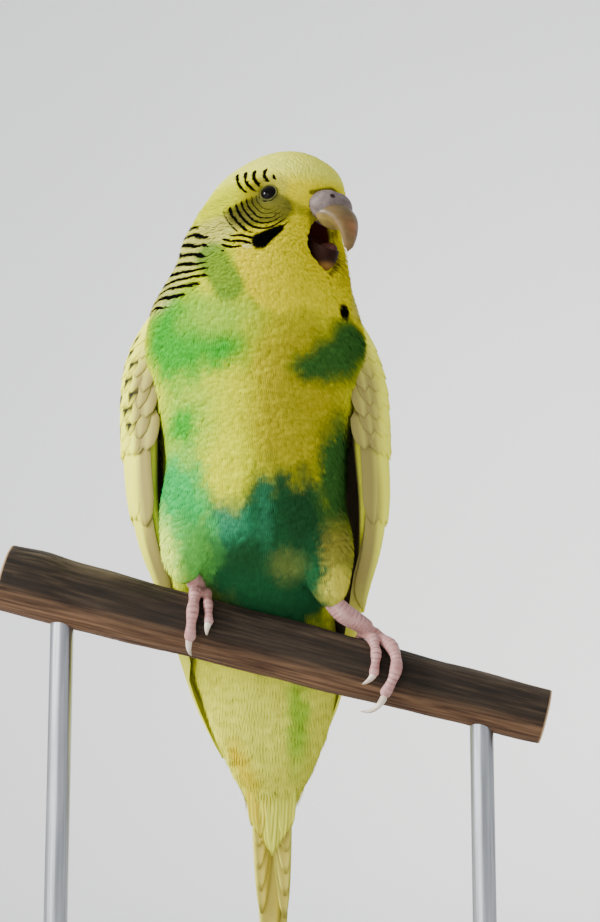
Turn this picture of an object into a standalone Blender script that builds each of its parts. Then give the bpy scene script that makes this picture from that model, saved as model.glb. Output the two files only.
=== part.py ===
# A still, life-size budgerigar that grips a short cut length of branch on a plain display stand.
# The bird faces -Y, its left is +X, and the origin is at the centre of the base's underside.
# Lengths below are in millimetres, and every mesh is written in metres.

import bpy
import bmesh
import numpy as np
from math import atan2, cos, degrees, pi, radians, sin, sqrt
from mathutils import Matrix, Vector

MM = 0.001
GAP = 0.3                      # space kept between touching pieces
UP = Vector((0.0, 0.0, 1.0))

# Display stand: a flat round-cornered base and two short rods
BASE_LENGTH = 124.0
BASE_DEPTH = 84.0
BASE_THICK = 6.0
BASE_MID_Y = 12.0
ROD_RADIUS = 2.6
ROD_SPREAD = (-44.0, 48.0)

# Perch: a tapering natural stick that slopes down to the bird's left
PERCH_MID_HEIGHT = 83.6        # axis height at X = 0
PERCH_SLOPE = radians(14.5)
PERCH_END_X = (-57.0, 62.0)
PERCH_RADIUS = 6.75            # at X = 0
PERCH_TAPER = 0.0125           # radius lost per millimetre of X
PERCH_KNOT_X = -49.0

# Body: half width, front depth and back depth of level sections, and how far each is turned
# columns: height, middle x, middle y, half width, front, back, turn of the section in degrees
BODY_SECTIONS = (
    (52.0, 2.0, 25.0, 6.3, 3.0, 3.0, 0.0),
    (62.0, 1.9, 21.9, 8.8, 5.0, 5.0, 0.0),
    (70.0, 1.5, 19.7, 10.4, 7.2, 7.3, 0.0),
    (78.0, 1.0, 17.0, 12.0, 8.5, 8.5, 0.0),
    (84.0, 0.5, 15.0, 12.8, 9.0, 9.5, 0.0),
    (92.0, -0.5, 10.5, 15.2, 11.5, 13.0, 0.0),
    (98.0, -1.2, 6.5, 17.8, 15.0, 16.5, 0.0),
    (105.0, -1.6, 2.0, 19.6, 18.5, 20.5, 0.0),
    (115.0, -2.0, -0.5, 20.8, 21.5, 21.5, 0.0),
    (126.0, -2.0, -2.0, 21.8, 22.2, 21.0, 0.0),
    (140.0, -1.6, -2.5, 23.4, 21.8, 20.5, 0.0),
    (150.0, -1.6, -3.6, 24.2, 21.6, 20.6, 5.0),
    (157.0, -1.7, -4.8, 23.6, 21.5, 21.4, 12.0),
    (163.0, -1.1, -6.0, 21.0, 20.3, 22.8, 22.0),
    (169.5, 0.0, -7.3, 17.3, 18.4, 23.4, 34.0),
    (175.0, 1.8, -7.9, 14.5, 16.9, 23.2, 43.0),
    (182.0, 4.0, -8.0, 13.0, 16.4, 19.3, 45.0),
)
CROWN_HEIGHT = 194.4           # top of the head
HEAD_WIDEST = 182.0            # the crown is a dome above this height
HEAD_TURN = radians(45.0)
HEAD_NECK_CUT = 162.0
NECK_TORSO_CUT = 152.0
TORSO_TAIL_CUT = 79.0
RING_POINTS = 28
RING_STEP = 5.0

# Eyes
EYE_RADIUS = 2.3
EYE_HEIGHT = 180.1
EYE_ANGLE = radians(58.0)      # from straight ahead, round the head
EYE_DEPTH = 1.4                # ball's centre below the feathers' surface
LID_RADIUS = 2.35
LID_THICK = 0.42

# Bill, in the head's own frame: ahead of the head's axis, and height
BEAK_SPINE = ((13.0, 175.6), (16.8, 175.6), (19.6, 174.0), (21.0, 171.2), (21.2, 168.2), (20.8, 166.3))
BEAK_HALF_WIDTH = (4.6, 4.5, 3.8, 2.7, 1.5, 0.45)
BEAK_HALF_THICK = (3.0, 2.9, 2.5, 1.7, 1.0, 0.4)
CERE_CENTRE = (15.4, 177.6)
CERE_RADII = (4.6, 5.6, 3.9)
NOSTRIL_SPOT = (18.9, 2.5, 179.2)
NOSTRIL_RADIUS = 0.65
MOUTH_CENTRE = (14.2, 170.4)
MOUTH_RADII = (5.0, 3.5, 4.8)
SCOOP_CENTRE = (14.3, 168.6)
SCOOP_RADII = (4.1, 3.3, 4.9)
SCOOP_WALL = 0.8
SCOOP_TOP = 171.2
SCOOP_NOTCH = (12.9, 172.0)
SCOOP_NOTCH_RADII = (4.7, 9.0, 5.8)
TONGUE_CENTRE = (13.2, 168.8)
TONGUE_RADII = (4.2, 1.7, 2.2)

# Folded wings: outline of level sections that wrap round the flanks
# columns: height, middle x, half width, middle y, front depth, back depth
WING_SECTIONS = (
    (54.0, 1.0, 8.0, 27.0, 3.0, 4.0),
    (62.0, 1.0, 12.2, 23.5, 5.0, 7.0),
    (72.0, 0.9, 17.2, 18.5, 6.5, 10.5),
    (84.0, 0.5, 21.0, 13.0, 8.0, 14.5),
    (96.0, 0.1, 24.4, 8.0, 10.0, 18.5),
    (105.0, -0.4, 27.7, 4.0, 11.0, 21.5),
    (115.0, -0.8, 29.8, 1.0, 12.0, 23.5),
    (126.0, -1.4, 30.4, -1.0, 12.0, 24.0),
    (140.0, -1.8, 30.2, -2.5, 12.0, 23.5),
    (148.0, -2.1, 28.4, -3.0, 11.0, 22.0),
    (154.0, -2.1, 25.8, -3.4, 10.5, 20.8),
    (161.0, -2.0, 22.0, -4.0, 10.0, 19.4),
)
# Tail: the middle pair's line, then how far each outer pair reaches and how far out it lies
TAIL_ROOT = (1.8, 22.4, 66.0)
TAIL_TIP = (2.4, 41.0, 9.2)
TAIL_LAYER = 0.83
TAIL_HALF = 2.5
TAIL_PAIRS = ((0.68, 2.75), (0.58, 2.85), (0.48, 3.0), (0.39, 3.15), (0.31, 3.3))

# Extent of the wing's own body, which carries the flight feathers
# columns: height, front angle, back angle, outer lift, inner lift
WING_BODY = (
    (100.0, 70.0, 158.0, -3.4, -4.5),
    (112.0, 61.0, 160.0, -3.3, -5.0),
    (126.0, 56.0, 158.0, -2.4, -5.6),
    (138.0, 55.0, 152.0, -1.5, -6.0),
    (146.0, 58.0, 146.0, -0.5, -6.0),
    (152.0, 64.0, 140.0, 0.2, -5.4),
    (157.0, 76.0, 128.0, -0.1, -4.6),
    (161.0, 90.0, 112.0, -1.6, -4.0),
)
# Wing tiers: count, half width, lifts at the root, middle and tip, then front vane and back vane,
# each by root height, root angle, tip height and tip angle
WING_TIERS = (
    (7, 4.1, (-4.2, -2.7, -0.7), (113.0, 62.0, 60.0, 106.0), (109.0, 122.0, 80.0, 158.0)),
    (6, 4.2, (-3.9, -2.3, -0.3), (124.0, 66.0, 94.0, 76.0), (124.0, 144.0, 89.0, 167.0)),
    (6, 4.2, (-3.6, -1.9, -0.1), (137.0, 62.0, 109.0, 62.0), (137.0, 142.0, 112.0, 158.0)),
    (5, 4.7, (-2.2, -0.8, 0.5), (149.0, 64.0, 125.0, 60.0), (149.0, 136.0, 127.0, 152.0)),
    (3, 4.8, (-1.8, 0.3, 1.6), (157.0, 112.0, 137.0, 122.0), (154.0, 138.0, 130.0, 157.0)),
)
SHOULDER = (21.0, 1.0, 144.0)
SHOULDER_RADII = (6.0, 10.0, 8.0)

# Legs: paths of x, y, height and radius, where right is the bird's right, at -X
THIGH_RIGHT = ((-12.5, -3.5, 124.0, 7.0), (-14.6, -7.6, 114.0, 7.8), (-16.0, -9.4, 105.0, 6.2), (-15.8, -9.6, 99.2, 3.2))
THIGH_LEFT = ((9.5, -1.5, 113.0, 7.0), (12.8, -5.4, 104.0, 7.0), (14.6, -6.8, 97.0, 5.0), (15.2, -6.4, 93.2, 3.0))
SHANK_RIGHT = ((-15.6, -9.2, 98.2, 1.9), (-15.2, -6.4, 97.4, 1.8), (-14.2, -2.2, 96.4, 2.0))
SHANK_LEFT = ((15.4, -6.0, 92.2, 2.1), (17.8, -5.0, 89.8, 2.3), (20.4, -3.6, 88.3, 2.1), (22.6, -1.8, 87.2, 1.9))
# toes: name, x at the foot, x at the end, sideways bow, turns round the perch in degrees, radius,
# then the claw's last x, last turn and how far it stands off the perch
TOES_RIGHT = (
    ("inner", -15.0, -11.6, 0.0, 2.0, 84.0, 1.2, -11.2, 106.0, 0.7),
    ("outer", -16.6, -14.6, -0.2, 2.0, 112.0, 1.5, -13.4, 148.0, 0.7),
    ("back_inner", -15.0, -11.6, 0.0, -4.0, -78.0, 1.15, -10.8, -108.0, 0.8),
    ("back_outer", -16.8, -17.8, 0.0, -4.0, -98.0, 1.35, -17.8, -132.0, 0.8),
)
TOES_LEFT = (
    ("inner", 20.4, 24.6, 1.0, 4.0, 96.0, 1.3, 24.0, 122.0, 0.8),
    ("outer", 21.8, 28.0, 3.4, 4.0, 122.0, 1.5, 26.2, 156.0, 3.6),
    ("back_inner", 20.2, 19.4, 0.0, -4.0, -78.0, 1.15, 19.2, -108.0, 0.8),
    ("back_outer", 22.0, 26.4, 0.0, -4.0, -98.0, 1.35, 27.2, -132.0, 0.8),
)
CLAW_RADIUS = 0.85
VANE_THICK = 0.52
LAP_RISE = 0.86                # a vane's rise over its neighbour
LAP_WIDTH = 1.6                # how far a vane reaches over its neighbour
VANE_SPREAD = 0.6              # share of its space that a vane covers on its open side
WING_ROOM = 0.68               # space between a wing and the flank's facets
FLANK_POINTS = 20

COLOURS = {
    "feather": (0.75, 0.72, 0.10, 1.0),
    "green": (0.13, 0.42, 0.12, 1.0),
    "skin": (0.72, 0.48, 0.44, 1.0),
    "claw": (0.62, 0.52, 0.44, 1.0),
    "horn": (0.62, 0.48, 0.22, 1.0),
    "cere": (0.38, 0.33, 0.36, 1.0),
    "eye": (0.01, 0.01, 0.01, 1.0),
    "tongue": (0.12, 0.06, 0.06, 1.0),
    "bark": (0.09, 0.06, 0.045, 1.0),
    "stand": (0.70, 0.70, 0.68, 1.0),
}


# Start from an empty scene
def clear_scene():
    for item in list(bpy.data.objects):
        bpy.data.objects.remove(item, do_unlink=True)


def make_material(name, kind, roughness=0.7, metallic=0.0):
    material = bpy.data.materials.new(name)
    material.use_nodes = True
    shader = material.node_tree.nodes["Principled BSDF"]
    shader.inputs["Base Color"].default_value = COLOURS[kind]
    shader.inputs["Roughness"].default_value = roughness
    shader.inputs["Metallic"].default_value = metallic
    return material


def make_object(name, points, faces):
    mesh = bpy.data.meshes.new(name)
    mesh.from_pydata([Vector(p) * MM for p in points], [], faces)
    mesh.update()
    item = bpy.data.objects.new(name, mesh)
    bpy.context.scene.collection.objects.link(item)
    return item


def finish_object(item, kind, roughness=0.7):
    item.data.materials.clear()
    item.data.materials.append(make_material(item.name, kind, roughness))
    item.data.shade_smooth()
    item.data.set_sharp_from_angle(angle=radians(40.0))
    return item


# Smooth curve through a table's rows, read at any value of its first column
def read_table(rows, where):
    keys = [row[0] for row in rows]
    last = len(rows) - 1
    place = min(max(where, keys[0]), keys[-1])
    index = max(i for i in range(last) if keys[i] <= place)
    step = keys[index + 1] - keys[index]
    t = (place - keys[index]) / step
    values = []
    for column in range(1, len(rows[0])):
        here = rows[index][column]
        there = rows[index + 1][column]
        slope = (there - here) / step
        before = slope
        after = slope
        if index > 0:
            before = (there - rows[index - 1][column]) / (keys[index + 1] - keys[index - 1])
        if index + 1 < last:
            after = (rows[index + 2][column] - here) / (keys[index + 2] - keys[index])
        first = (2 * t**3 - 3 * t**2 + 1) * here + (t**3 - 2 * t**2 + t) * step * before
        second = (3 * t**2 - 2 * t**3) * there + (t**3 - t**2) * step * after
        values.append(first + second)
    return values


def between(a, b, t):
    return a + (b - a) * t


# A closed body from rings of points, with flat ends or single end points
def skin_rings(name, rings, start=None, end=None):
    count = len(rings[0])
    points = [p for ring in rings for p in ring]
    faces = []
    for row in range(len(rings) - 1):
        for i in range(count):
            j = (i + 1) % count
            a = row * count + i
            b = row * count + j
            faces.append((a, b, b + count))
            faces.append((a, b + count, a + count))
    top = (len(rings) - 1) * count
    if start is None:
        faces.append(tuple(reversed(range(count))))
    else:
        points.append(start)
        faces += [((i + 1) % count, i, len(points) - 1) for i in range(count)]
    if end is None:
        faces.append(tuple(range(top, top + count)))
    else:
        points.append(end)
        faces += [(top + i, top + (i + 1) % count, len(points) - 1) for i in range(count)]
    return face_outward(make_object(name, points, faces))


def face_outward(item):
    work = bmesh.new()
    work.from_mesh(item.data)
    bmesh.ops.triangulate(work, faces=[f for f in work.faces if len(f.verts) > 3])
    bmesh.ops.recalc_face_normals(work, faces=work.faces)
    if work.calc_volume(signed=True) < 0:
        bmesh.ops.reverse_faces(work, faces=work.faces)
    work.to_mesh(item.data)
    work.free()
    return item


# A tube with rounded ends along points that carry their own radius
def make_tube(name, path, sides=10):
    centres = [Vector(p[:3]) for p in path]
    radii = [p[3] for p in path]
    rings = []
    side = None
    for i, centre in enumerate(centres):
        ahead = centres[min(i + 1, len(centres) - 1)]
        behind = centres[max(i - 1, 0)]
        along = (ahead - behind).normalized()
        if side is None:
            side = along.orthogonal().normalized()
        side = (side - along * side.dot(along)).normalized()
        other = along.cross(side)
        ring = []
        for k in range(sides):
            turn = 2 * pi * k / sides
            ring.append(centre + (side * cos(turn) + other * sin(turn)) * radii[i])
        rings.append(ring)
    first = (centres[0] - centres[1]).normalized()
    final = (centres[-1] - centres[-2]).normalized()
    start = centres[0] + first * radii[0] * 0.6
    end = centres[-1] + final * radii[-1] * 0.6
    return skin_rings(name, rings, start, end)


# A finer path on a smooth curve through a path's own points
def smooth_path(path, steps):
    rows = [(i, *point) for i, point in enumerate(path)]
    last = len(path) - 1
    return [tuple(read_table(rows, last * i / steps)) for i in range(steps + 1)]


def grown_path(path):
    return [(x, y, height, radius + GAP) for x, y, height, radius in path]


def make_ellipsoid(name, centre, radii, turn=0.0, segments=14, rings=9):
    work = bmesh.new()
    bmesh.ops.create_uvsphere(work, u_segments=segments, v_segments=rings, radius=1.0)
    place = Matrix.Translation(Vector(centre)) @ Matrix.Rotation(turn, 4, "Z") @ Matrix.Diagonal((*radii, 1.0))
    bmesh.ops.transform(work, matrix=Matrix.Scale(MM, 4) @ place, verts=work.verts)
    mesh = bpy.data.meshes.new(name)
    work.to_mesh(mesh)
    work.free()
    item = bpy.data.objects.new(name, mesh)
    bpy.context.scene.collection.objects.link(item)
    return face_outward(item)


# Boolean tools: the second piece is used up
def combine(item, others, operation, solver="EXACT"):
    group = bpy.data.collections.new("joined")
    bpy.context.scene.collection.children.link(group)
    for other in others:
        group.objects.link(other)
    change = item.modifiers.new("join", "BOOLEAN")
    change.operation = operation
    change.operand_type = "COLLECTION"
    change.collection = group
    change.solver = solver
    bpy.context.view_layer.objects.active = item
    bpy.ops.object.modifier_apply(modifier=change.name)
    for other in others:
        bpy.data.objects.remove(other, do_unlink=True)
    bpy.data.collections.remove(group)
    return tidy_mesh(item)


# Weld stray corners and keep the largest closed surface
def tidy_mesh(item):
    work = bmesh.new()
    work.from_mesh(item.data)
    bmesh.ops.remove_doubles(work, verts=work.verts, dist=0.004 * MM)
    bmesh.ops.dissolve_degenerate(work, dist=0.002 * MM, edges=work.edges)
    bmesh.ops.triangulate(work, faces=[f for f in work.faces if len(f.verts) > 3])
    remaining = set(work.faces)
    shells = []
    while remaining:
        shell = set()
        queue = [remaining.pop()]
        while queue:
            face = queue.pop()
            shell.add(face)
            for edge in face.edges:
                for neighbour in edge.link_faces:
                    if neighbour in remaining:
                        remaining.discard(neighbour)
                        queue.append(neighbour)
        shells.append(shell)
    largest = max(shells, key=lambda s: sum(f.calc_area() for f in s))
    extra = [f for shell in shells if shell is not largest for f in shell]
    if extra:
        bmesh.ops.delete(work, geom=extra, context="FACES")
    loose = [v for v in work.verts if not v.link_faces]
    bmesh.ops.delete(work, geom=loose, context="VERTS")
    bmesh.ops.recalc_face_normals(work, faces=work.faces)
    if work.calc_volume(signed=True) < 0:
        bmesh.ops.reverse_faces(work, faces=work.faces)
    work.to_mesh(item.data)
    work.free()
    return item


# Body surface: angle 0 is straight ahead, and positive angles go to the bird's right
def body_section(height):
    if height <= HEAD_WIDEST:
        mid_x, mid_y, width, front, back, turn = read_table(BODY_SECTIONS, height)
        return mid_x, mid_y, width, front, back, radians(turn)
    mid_x, mid_y, width, front, back, turn = BODY_SECTIONS[-1][1:]
    rise = (height - HEAD_WIDEST) / (CROWN_HEIGHT - HEAD_WIDEST)
    shrink = sqrt(max(0.0, 1.0 - rise * rise))
    forward = 0.9 * rise * rise
    return mid_x + forward, mid_y - forward, width * shrink, front * shrink, back * shrink, radians(turn)


def body_point(height, angle, grow=0.0):
    mid_x, mid_y, width, front, back, turn = body_section(height)
    depth = front if cos(angle) > 0 else back
    ahead = (depth + grow) * cos(angle)
    aside = (width + grow) * sin(angle)
    x = mid_x + ahead * sin(turn) - aside * cos(turn)
    y = mid_y - ahead * cos(turn) - aside * sin(turn)
    return Vector((x, y, height))


def body_normal(height, angle):
    small = 0.02
    round_it = body_point(height, angle + small) - body_point(height, angle - small)
    up_it = body_point(height + small * 10, angle) - body_point(height - small * 10, angle)
    normal = round_it.cross(up_it).normalized()
    outward = body_point(height, angle) - Vector((*body_section(height)[:2], height))
    return normal if normal.dot(outward) > 0 else -normal


def body_ring(height, grow=0.0, points=RING_POINTS):
    return [body_point(height, 2 * pi * i / points, grow) for i in range(points)]


def body_piece(name, low, high, grow=0.0, points=RING_POINTS):
    steps = max(2, round((high - low) / RING_STEP))
    heights = [between(low, high, i / steps) for i in range(steps + 1)]
    return skin_rings(name, [body_ring(h, grow, points) for h in heights])


def head_piece(name, low, grow=0.0):
    steps = round((HEAD_WIDEST - low) / 3.2)
    heights = [between(low, HEAD_WIDEST, i / steps) for i in range(steps)]
    rise = CROWN_HEIGHT - HEAD_WIDEST
    heights += [HEAD_WIDEST + rise * sin(radians(a)) for a in (0.0, 15.0, 30.0, 45.0, 60.0, 75.0)]
    rings = [body_ring(h, grow) for h in heights]
    mid_x, mid_y = body_section(CROWN_HEIGHT)[:2]
    return skin_rings(name, rings, None, Vector((mid_x, mid_y, CROWN_HEIGHT + grow)))


# A place in the head's own frame: ahead, to the bird's right, height
def head_place(ahead, aside, height):
    mid_x, mid_y = body_section(HEAD_WIDEST)[:2]
    x = mid_x + ahead * sin(HEAD_TURN) - aside * cos(HEAD_TURN)
    y = mid_y - ahead * cos(HEAD_TURN) - aside * sin(HEAD_TURN)
    return Vector((x, y, height))


def head_ellipsoid(name, centre, radii, grow=0.0, segments=14, rings=9):
    place = head_place(centre[0], 0.0, centre[1])
    sizes = [r + grow for r in radii]
    return make_ellipsoid(name, place, sizes, HEAD_TURN - pi / 2, segments, rings)


# Eye ball, its socket and its ring of bare skin
def eye_centre(side):
    place = body_point(EYE_HEIGHT, side * EYE_ANGLE)
    return place - body_normal(EYE_HEIGHT, side * EYE_ANGLE) * EYE_DEPTH


def lid_ring(name, side):
    surface = body_point(EYE_HEIGHT, side * EYE_ANGLE)
    normal = body_normal(EYE_HEIGHT, side * EYE_ANGLE)
    across = normal.cross(UP).normalized()
    upward = across.cross(normal).normalized()
    rings = []
    around = 12
    for i in range(around):
        turn = 2 * pi * i / around
        outward = across * cos(turn) + upward * sin(turn)
        ring = []
        for k in range(5):
            tilt = 2 * pi * k / 5
            reach = LID_RADIUS + LID_THICK * cos(tilt)
            ring.append(surface + outward * reach + normal * (LID_THICK * sin(tilt) - 0.1))
        rings.append(ring)
    points = [p for ring in rings for p in ring]
    faces = []
    for i in range(around):
        for k in range(5):
            a = i * 5 + k
            b = i * 5 + (k + 1) % 5
            c = ((i + 1) % around) * 5 + (k + 1) % 5
            d = ((i + 1) % around) * 5 + k
            faces.append((a, b, c))
            faces.append((a, c, d))
    return face_outward(make_object(name, points, faces))


def make_head():
    head = head_piece("head", HEAD_NECK_CUT + GAP / 2)
    combine(head, [lid_ring("lid", side) for side in (-1, 1)], "UNION")
    cutters = []
    for side in (-1, 1):
        ball = [EYE_RADIUS + GAP] * 3
        cutters.append(make_ellipsoid("socket", eye_centre(side), ball, 0.0, 12, 8))
    cutters.append(head_ellipsoid("mouth", MOUTH_CENTRE, MOUTH_RADII))
    cutters.append(head_ellipsoid("scoop_seat", SCOOP_CENTRE, SCOOP_RADII, GAP))
    combine(head, cutters, "DIFFERENCE")
    return finish_object(head, "feather")


def make_eyes():
    for side, name in ((1, "eye_right"), (-1, "eye_left")):
        finish_object(make_ellipsoid(name, eye_centre(side), [EYE_RADIUS] * 3), "eye", 0.1)


# Upper bill: a hook swept along its spine
def beak_body(name, grow=0.0):
    rings = []
    for i, (ahead, height) in enumerate(BEAK_SPINE):
        after = BEAK_SPINE[min(i + 1, len(BEAK_SPINE) - 1)]
        before = BEAK_SPINE[max(i - 1, 0)]
        slope = atan2(after[1] - before[1], after[0] - before[0])
        width = BEAK_HALF_WIDTH[i] + grow
        thick = BEAK_HALF_THICK[i] + grow
        ring = []
        for k in range(16):
            turn = 2 * pi * k / 16
            rise = thick * sin(turn)
            ring.append(head_place(ahead - rise * sin(slope), width * cos(turn), height + rise * cos(slope)))
        rings.append(ring)
    return skin_rings(name, rings)


def make_beak():
    beak = beak_body("beak_upper")
    combine(beak, [head_piece("face", HEAD_NECK_CUT, GAP)], "DIFFERENCE")
    finish_object(beak, "horn", 0.35)
    cere = head_ellipsoid("cere", CERE_CENTRE, CERE_RADII)
    cutters = [head_piece("face", HEAD_NECK_CUT, GAP), beak_body("bill", GAP)]
    for side in (-1, 1):
        hole = head_place(NOSTRIL_SPOT[0], side * NOSTRIL_SPOT[1], NOSTRIL_SPOT[2])
        cutters.append(make_ellipsoid("nostril", hole, [NOSTRIL_RADIUS] * 3, 0.0, 8, 6))
    combine(cere, cutters, "DIFFERENCE")
    finish_object(cere, "cere", 0.5)


# Lower bill: a scoop whose rim rises to the front
def make_scoop():
    scoop = head_ellipsoid("beak_lower", SCOOP_CENTRE, SCOOP_RADII)
    hollow = head_ellipsoid("hollow", (SCOOP_CENTRE[0], SCOOP_CENTRE[1] + 0.4), SCOOP_RADII, -SCOOP_WALL)
    notch = head_ellipsoid("notch", SCOOP_NOTCH, SCOOP_NOTCH_RADII)
    reach = 9.0
    rings = []
    for height in (SCOOP_TOP, SCOOP_TOP + reach):
        corners = ((0.0, -reach), (0.0, reach), (2.5 * reach, reach), (2.5 * reach, -reach))
        rings.append([head_place(ahead, aside, height) for ahead, aside in corners])
    lid = skin_rings("above", rings)
    combine(scoop, [hollow, notch, lid], "DIFFERENCE")
    combine(scoop, [beak_body("bill", GAP)], "DIFFERENCE")
    return finish_object(scoop, "horn", 0.4)


def make_tongue():
    tongue = head_ellipsoid("tongue", TONGUE_CENTRE, TONGUE_RADII)
    combine(tongue, [head_ellipsoid("mouth", MOUTH_CENTRE, MOUTH_RADII, -GAP)], "INTERSECT")
    return finish_object(tongue, "tongue", 0.4)


# Perch: its axis, its radius along it and a form that may be grown
def perch_axis(x):
    return Vector((x, 0.0, PERCH_MID_HEIGHT - x * sin(PERCH_SLOPE) / cos(PERCH_SLOPE)))


def perch_radius(x, turn=0.0):
    knot = 0.5 * np.exp(-((x - PERCH_KNOT_X) / 5.0) ** 2) * max(0.0, cos(turn - 0.6))
    wave = 0.10 * sin(0.13 * x + 2.0 * turn) + 0.08 * sin(0.31 * x - turn)
    return PERCH_RADIUS - PERCH_TAPER * x + wave + knot


# Turn 0 is the top of the perch and a quarter turn is its front
def perch_place(x, turn, radius):
    upward = Vector((sin(PERCH_SLOPE), 0.0, cos(PERCH_SLOPE)))
    forward = Vector((0.0, -1.0, 0.0))
    return perch_axis(x) + (upward * cos(turn) + forward * sin(turn)) * radius


def perch_body(name, grow=0.0):
    rings = []
    steps = 18
    for i in range(steps + 1):
        x = between(PERCH_END_X[0] - grow, PERCH_END_X[1] + grow, i / steps)
        turns = [2 * pi * k / 16 for k in range(16)]
        rings.append([perch_place(x, turn, perch_radius(x, turn) + grow) for turn in turns])
    return skin_rings(name, rings)


def make_perch():
    finish_object(perch_body("perch"), "bark", 0.9)


def make_neck_and_torso():
    neck = body_piece("neck", NECK_TORSO_CUT + GAP / 2, HEAD_NECK_CUT - GAP / 2)
    finish_object(neck, "feather", 0.8)
    torso = body_piece("torso", TORSO_TAIL_CUT + GAP / 2, NECK_TORSO_CUT - GAP / 2)
    cutters = [perch_body("branch", GAP)]
    for shank, toes in ((SHANK_RIGHT, TOES_RIGHT), (SHANK_LEFT, TOES_LEFT)):
        cutters.append(make_tube("shank", grown_path(shank), 8))
        cutters += [make_tube("toe", grown_path(toe_path(toe)), 7) for toe in toes]
        cutters += [make_tube("claw", grown_path(claw_path(toe)), 6) for toe in toes]
    combine(torso, cutters, "DIFFERENCE")
    finish_object(torso, "green", 0.8)


# A thin tapering vane, split into triangles alike on both faces
# Each station holds a centre, the way across, the way out and how far both edges lie from the centre
def make_vane(name, stations, thick=VANE_THICK):
    rings = []
    last = len(stations) - 1
    for i, (centre, across, outward, shown, hidden) in enumerate(stations):
        depth = thick / 2 * (0.7 if i == last else 1.0)
        left = centre - across * shown
        right = centre + across * hidden
        rings.append([left - outward * depth, right - outward * depth, right + outward * depth, left + outward * depth])
    return skin_rings(name, rings)


# Wing surface: angle 0 is straight ahead, a quarter turn is the bird's side
def wing_point(side, height, angle, lift=0.0):
    mid_x, half, mid_y, front, back = read_table(WING_SECTIONS, height)
    depth = front if cos(angle) > 0 else back
    return Vector((mid_x + side * (half + lift) * sin(angle), mid_y - (depth + lift) * cos(angle), height))


def wing_frame(side, height, angle, lift):
    place = wing_point(side, height, angle, lift)
    across = wing_point(side, height, angle + 0.02, lift) - wing_point(side, height, angle - 0.02, lift)
    size = across.length / 0.04
    across.normalize()
    upward = wing_point(side, height + 0.5, angle, lift) - wing_point(side, height - 0.5, angle, lift)
    outward = across.cross(upward).normalized()
    middle = Vector((read_table(WING_SECTIONS, height)[0], read_table(WING_SECTIONS, height)[2], height))
    if outward.dot(place - middle) < 0:
        outward = -outward
    return place, across, outward, size


# One tier of vanes that lap like tiles, each rising clear of its neighbour
def wing_tier(side, tier, outermost):
    count, half, lifts, first, last = tier
    vanes = []
    for i in range(count):
        share = i / (count - 1)
        fall = share ** 1.5 if outermost else share
        row = []
        for t, narrow in ((0.0, 0.8), (0.3, 1.0), (0.6, 1.0), (0.88, 0.72), (1.0, 0.28)):
            height = between(between(first[0], last[0], share), between(first[2], last[2], fall), t)
            angle = radians(between(between(first[1], last[1], share), between(first[3], last[3], share), t))
            spread = radians(between(last[1] - first[1], last[3] - first[3], t)) / (count - 1)
            lift = between(lifts[0], lifts[1], t / 0.5) if t < 0.5 else between(lifts[1], lifts[2], (t - 0.5) / 0.5)
            place, across, outward, size = wing_frame(side, height, angle, lift)
            space = spread * size
            slope = min(0.75, LAP_RISE / max(1.0, space))
            across = (across - outward * slope).normalized()
            outward = (outward + across * slope).normalized()
            shown = min(half, VANE_SPREAD * (space + LAP_WIDTH)) * narrow
            hidden = min(half, (1.0 - VANE_SPREAD) * (space + LAP_WIDTH)) * narrow
            row.append((place, across, outward, shown, hidden))
        vanes.append(make_vane("vane", row))
    return vanes


# The wing's body: a shell that wraps round the flank
def wing_body(name, side):
    rings = []
    arc = 7
    low = WING_BODY[0][0]
    high = WING_BODY[-1][0]
    steps = 9
    for i in range(steps + 1):
        height = between(low, high, i / steps)
        front, back, outer, inner = read_table(WING_BODY, height)
        middle = (outer + inner) / 2
        outside = []
        inside = []
        for k in range(arc + 1):
            share = k / arc
            angle = radians(between(front, back, share))
            swell = 1.0 - 0.5 * abs(2 * share - 1) ** 4
            outside.append(wing_point(side, height, angle, between(middle, outer, swell)))
            inside.append(wing_point(side, height, angle, between(middle, inner, swell)))
        rings.append(outside + list(reversed(inside)))
    return skin_rings(name, rings)


def make_wings():
    for side, name in ((-1, "wing_right"), (1, "wing_left")):
        wing = wing_body(name, side)
        middle = read_table(WING_SECTIONS, SHOULDER[2])[0]
        centre = (middle + side * SHOULDER[0], SHOULDER[1], SHOULDER[2])
        pieces = [make_ellipsoid("shoulder", centre, SHOULDER_RADII, 0.0, 10, 7)]
        for i, tier in enumerate(WING_TIERS):
            pieces += wing_tier(side, tier, i == 0)
        combine(wing, pieces, "UNION")
        combine(wing, [body_piece("flank", BODY_SECTIONS[0][0], HEAD_NECK_CUT, WING_ROOM, FLANK_POINTS)], "DIFFERENCE")
        finish_object(wing, "feather", 0.6)


# Tail: long vanes stacked from the back to the front, the shortest and outermost in front
def tail_vane(aside_root, aside_tip, layer, start, end, half):
    root = Vector(TAIL_ROOT)
    axis = Vector(TAIL_TIP) - root
    backward = Vector((0.0, -axis.z, axis.y)).normalized()
    sideways = Vector((1.0, 0.0, 0.0))
    row = []
    for t, narrow in ((0.0, 0.8), (0.25, 1.0), (0.55, 1.0), (0.8, 0.86), (0.94, 0.55), (1.0, 0.2)):
        along = between(start, end, t)
        aside = between(aside_root, aside_tip, t)
        place = root + axis * along + sideways * aside - backward * layer * TAIL_LAYER
        row.append((place, sideways, backward, half * narrow, half * narrow))
    return make_vane("vane", row)


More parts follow.
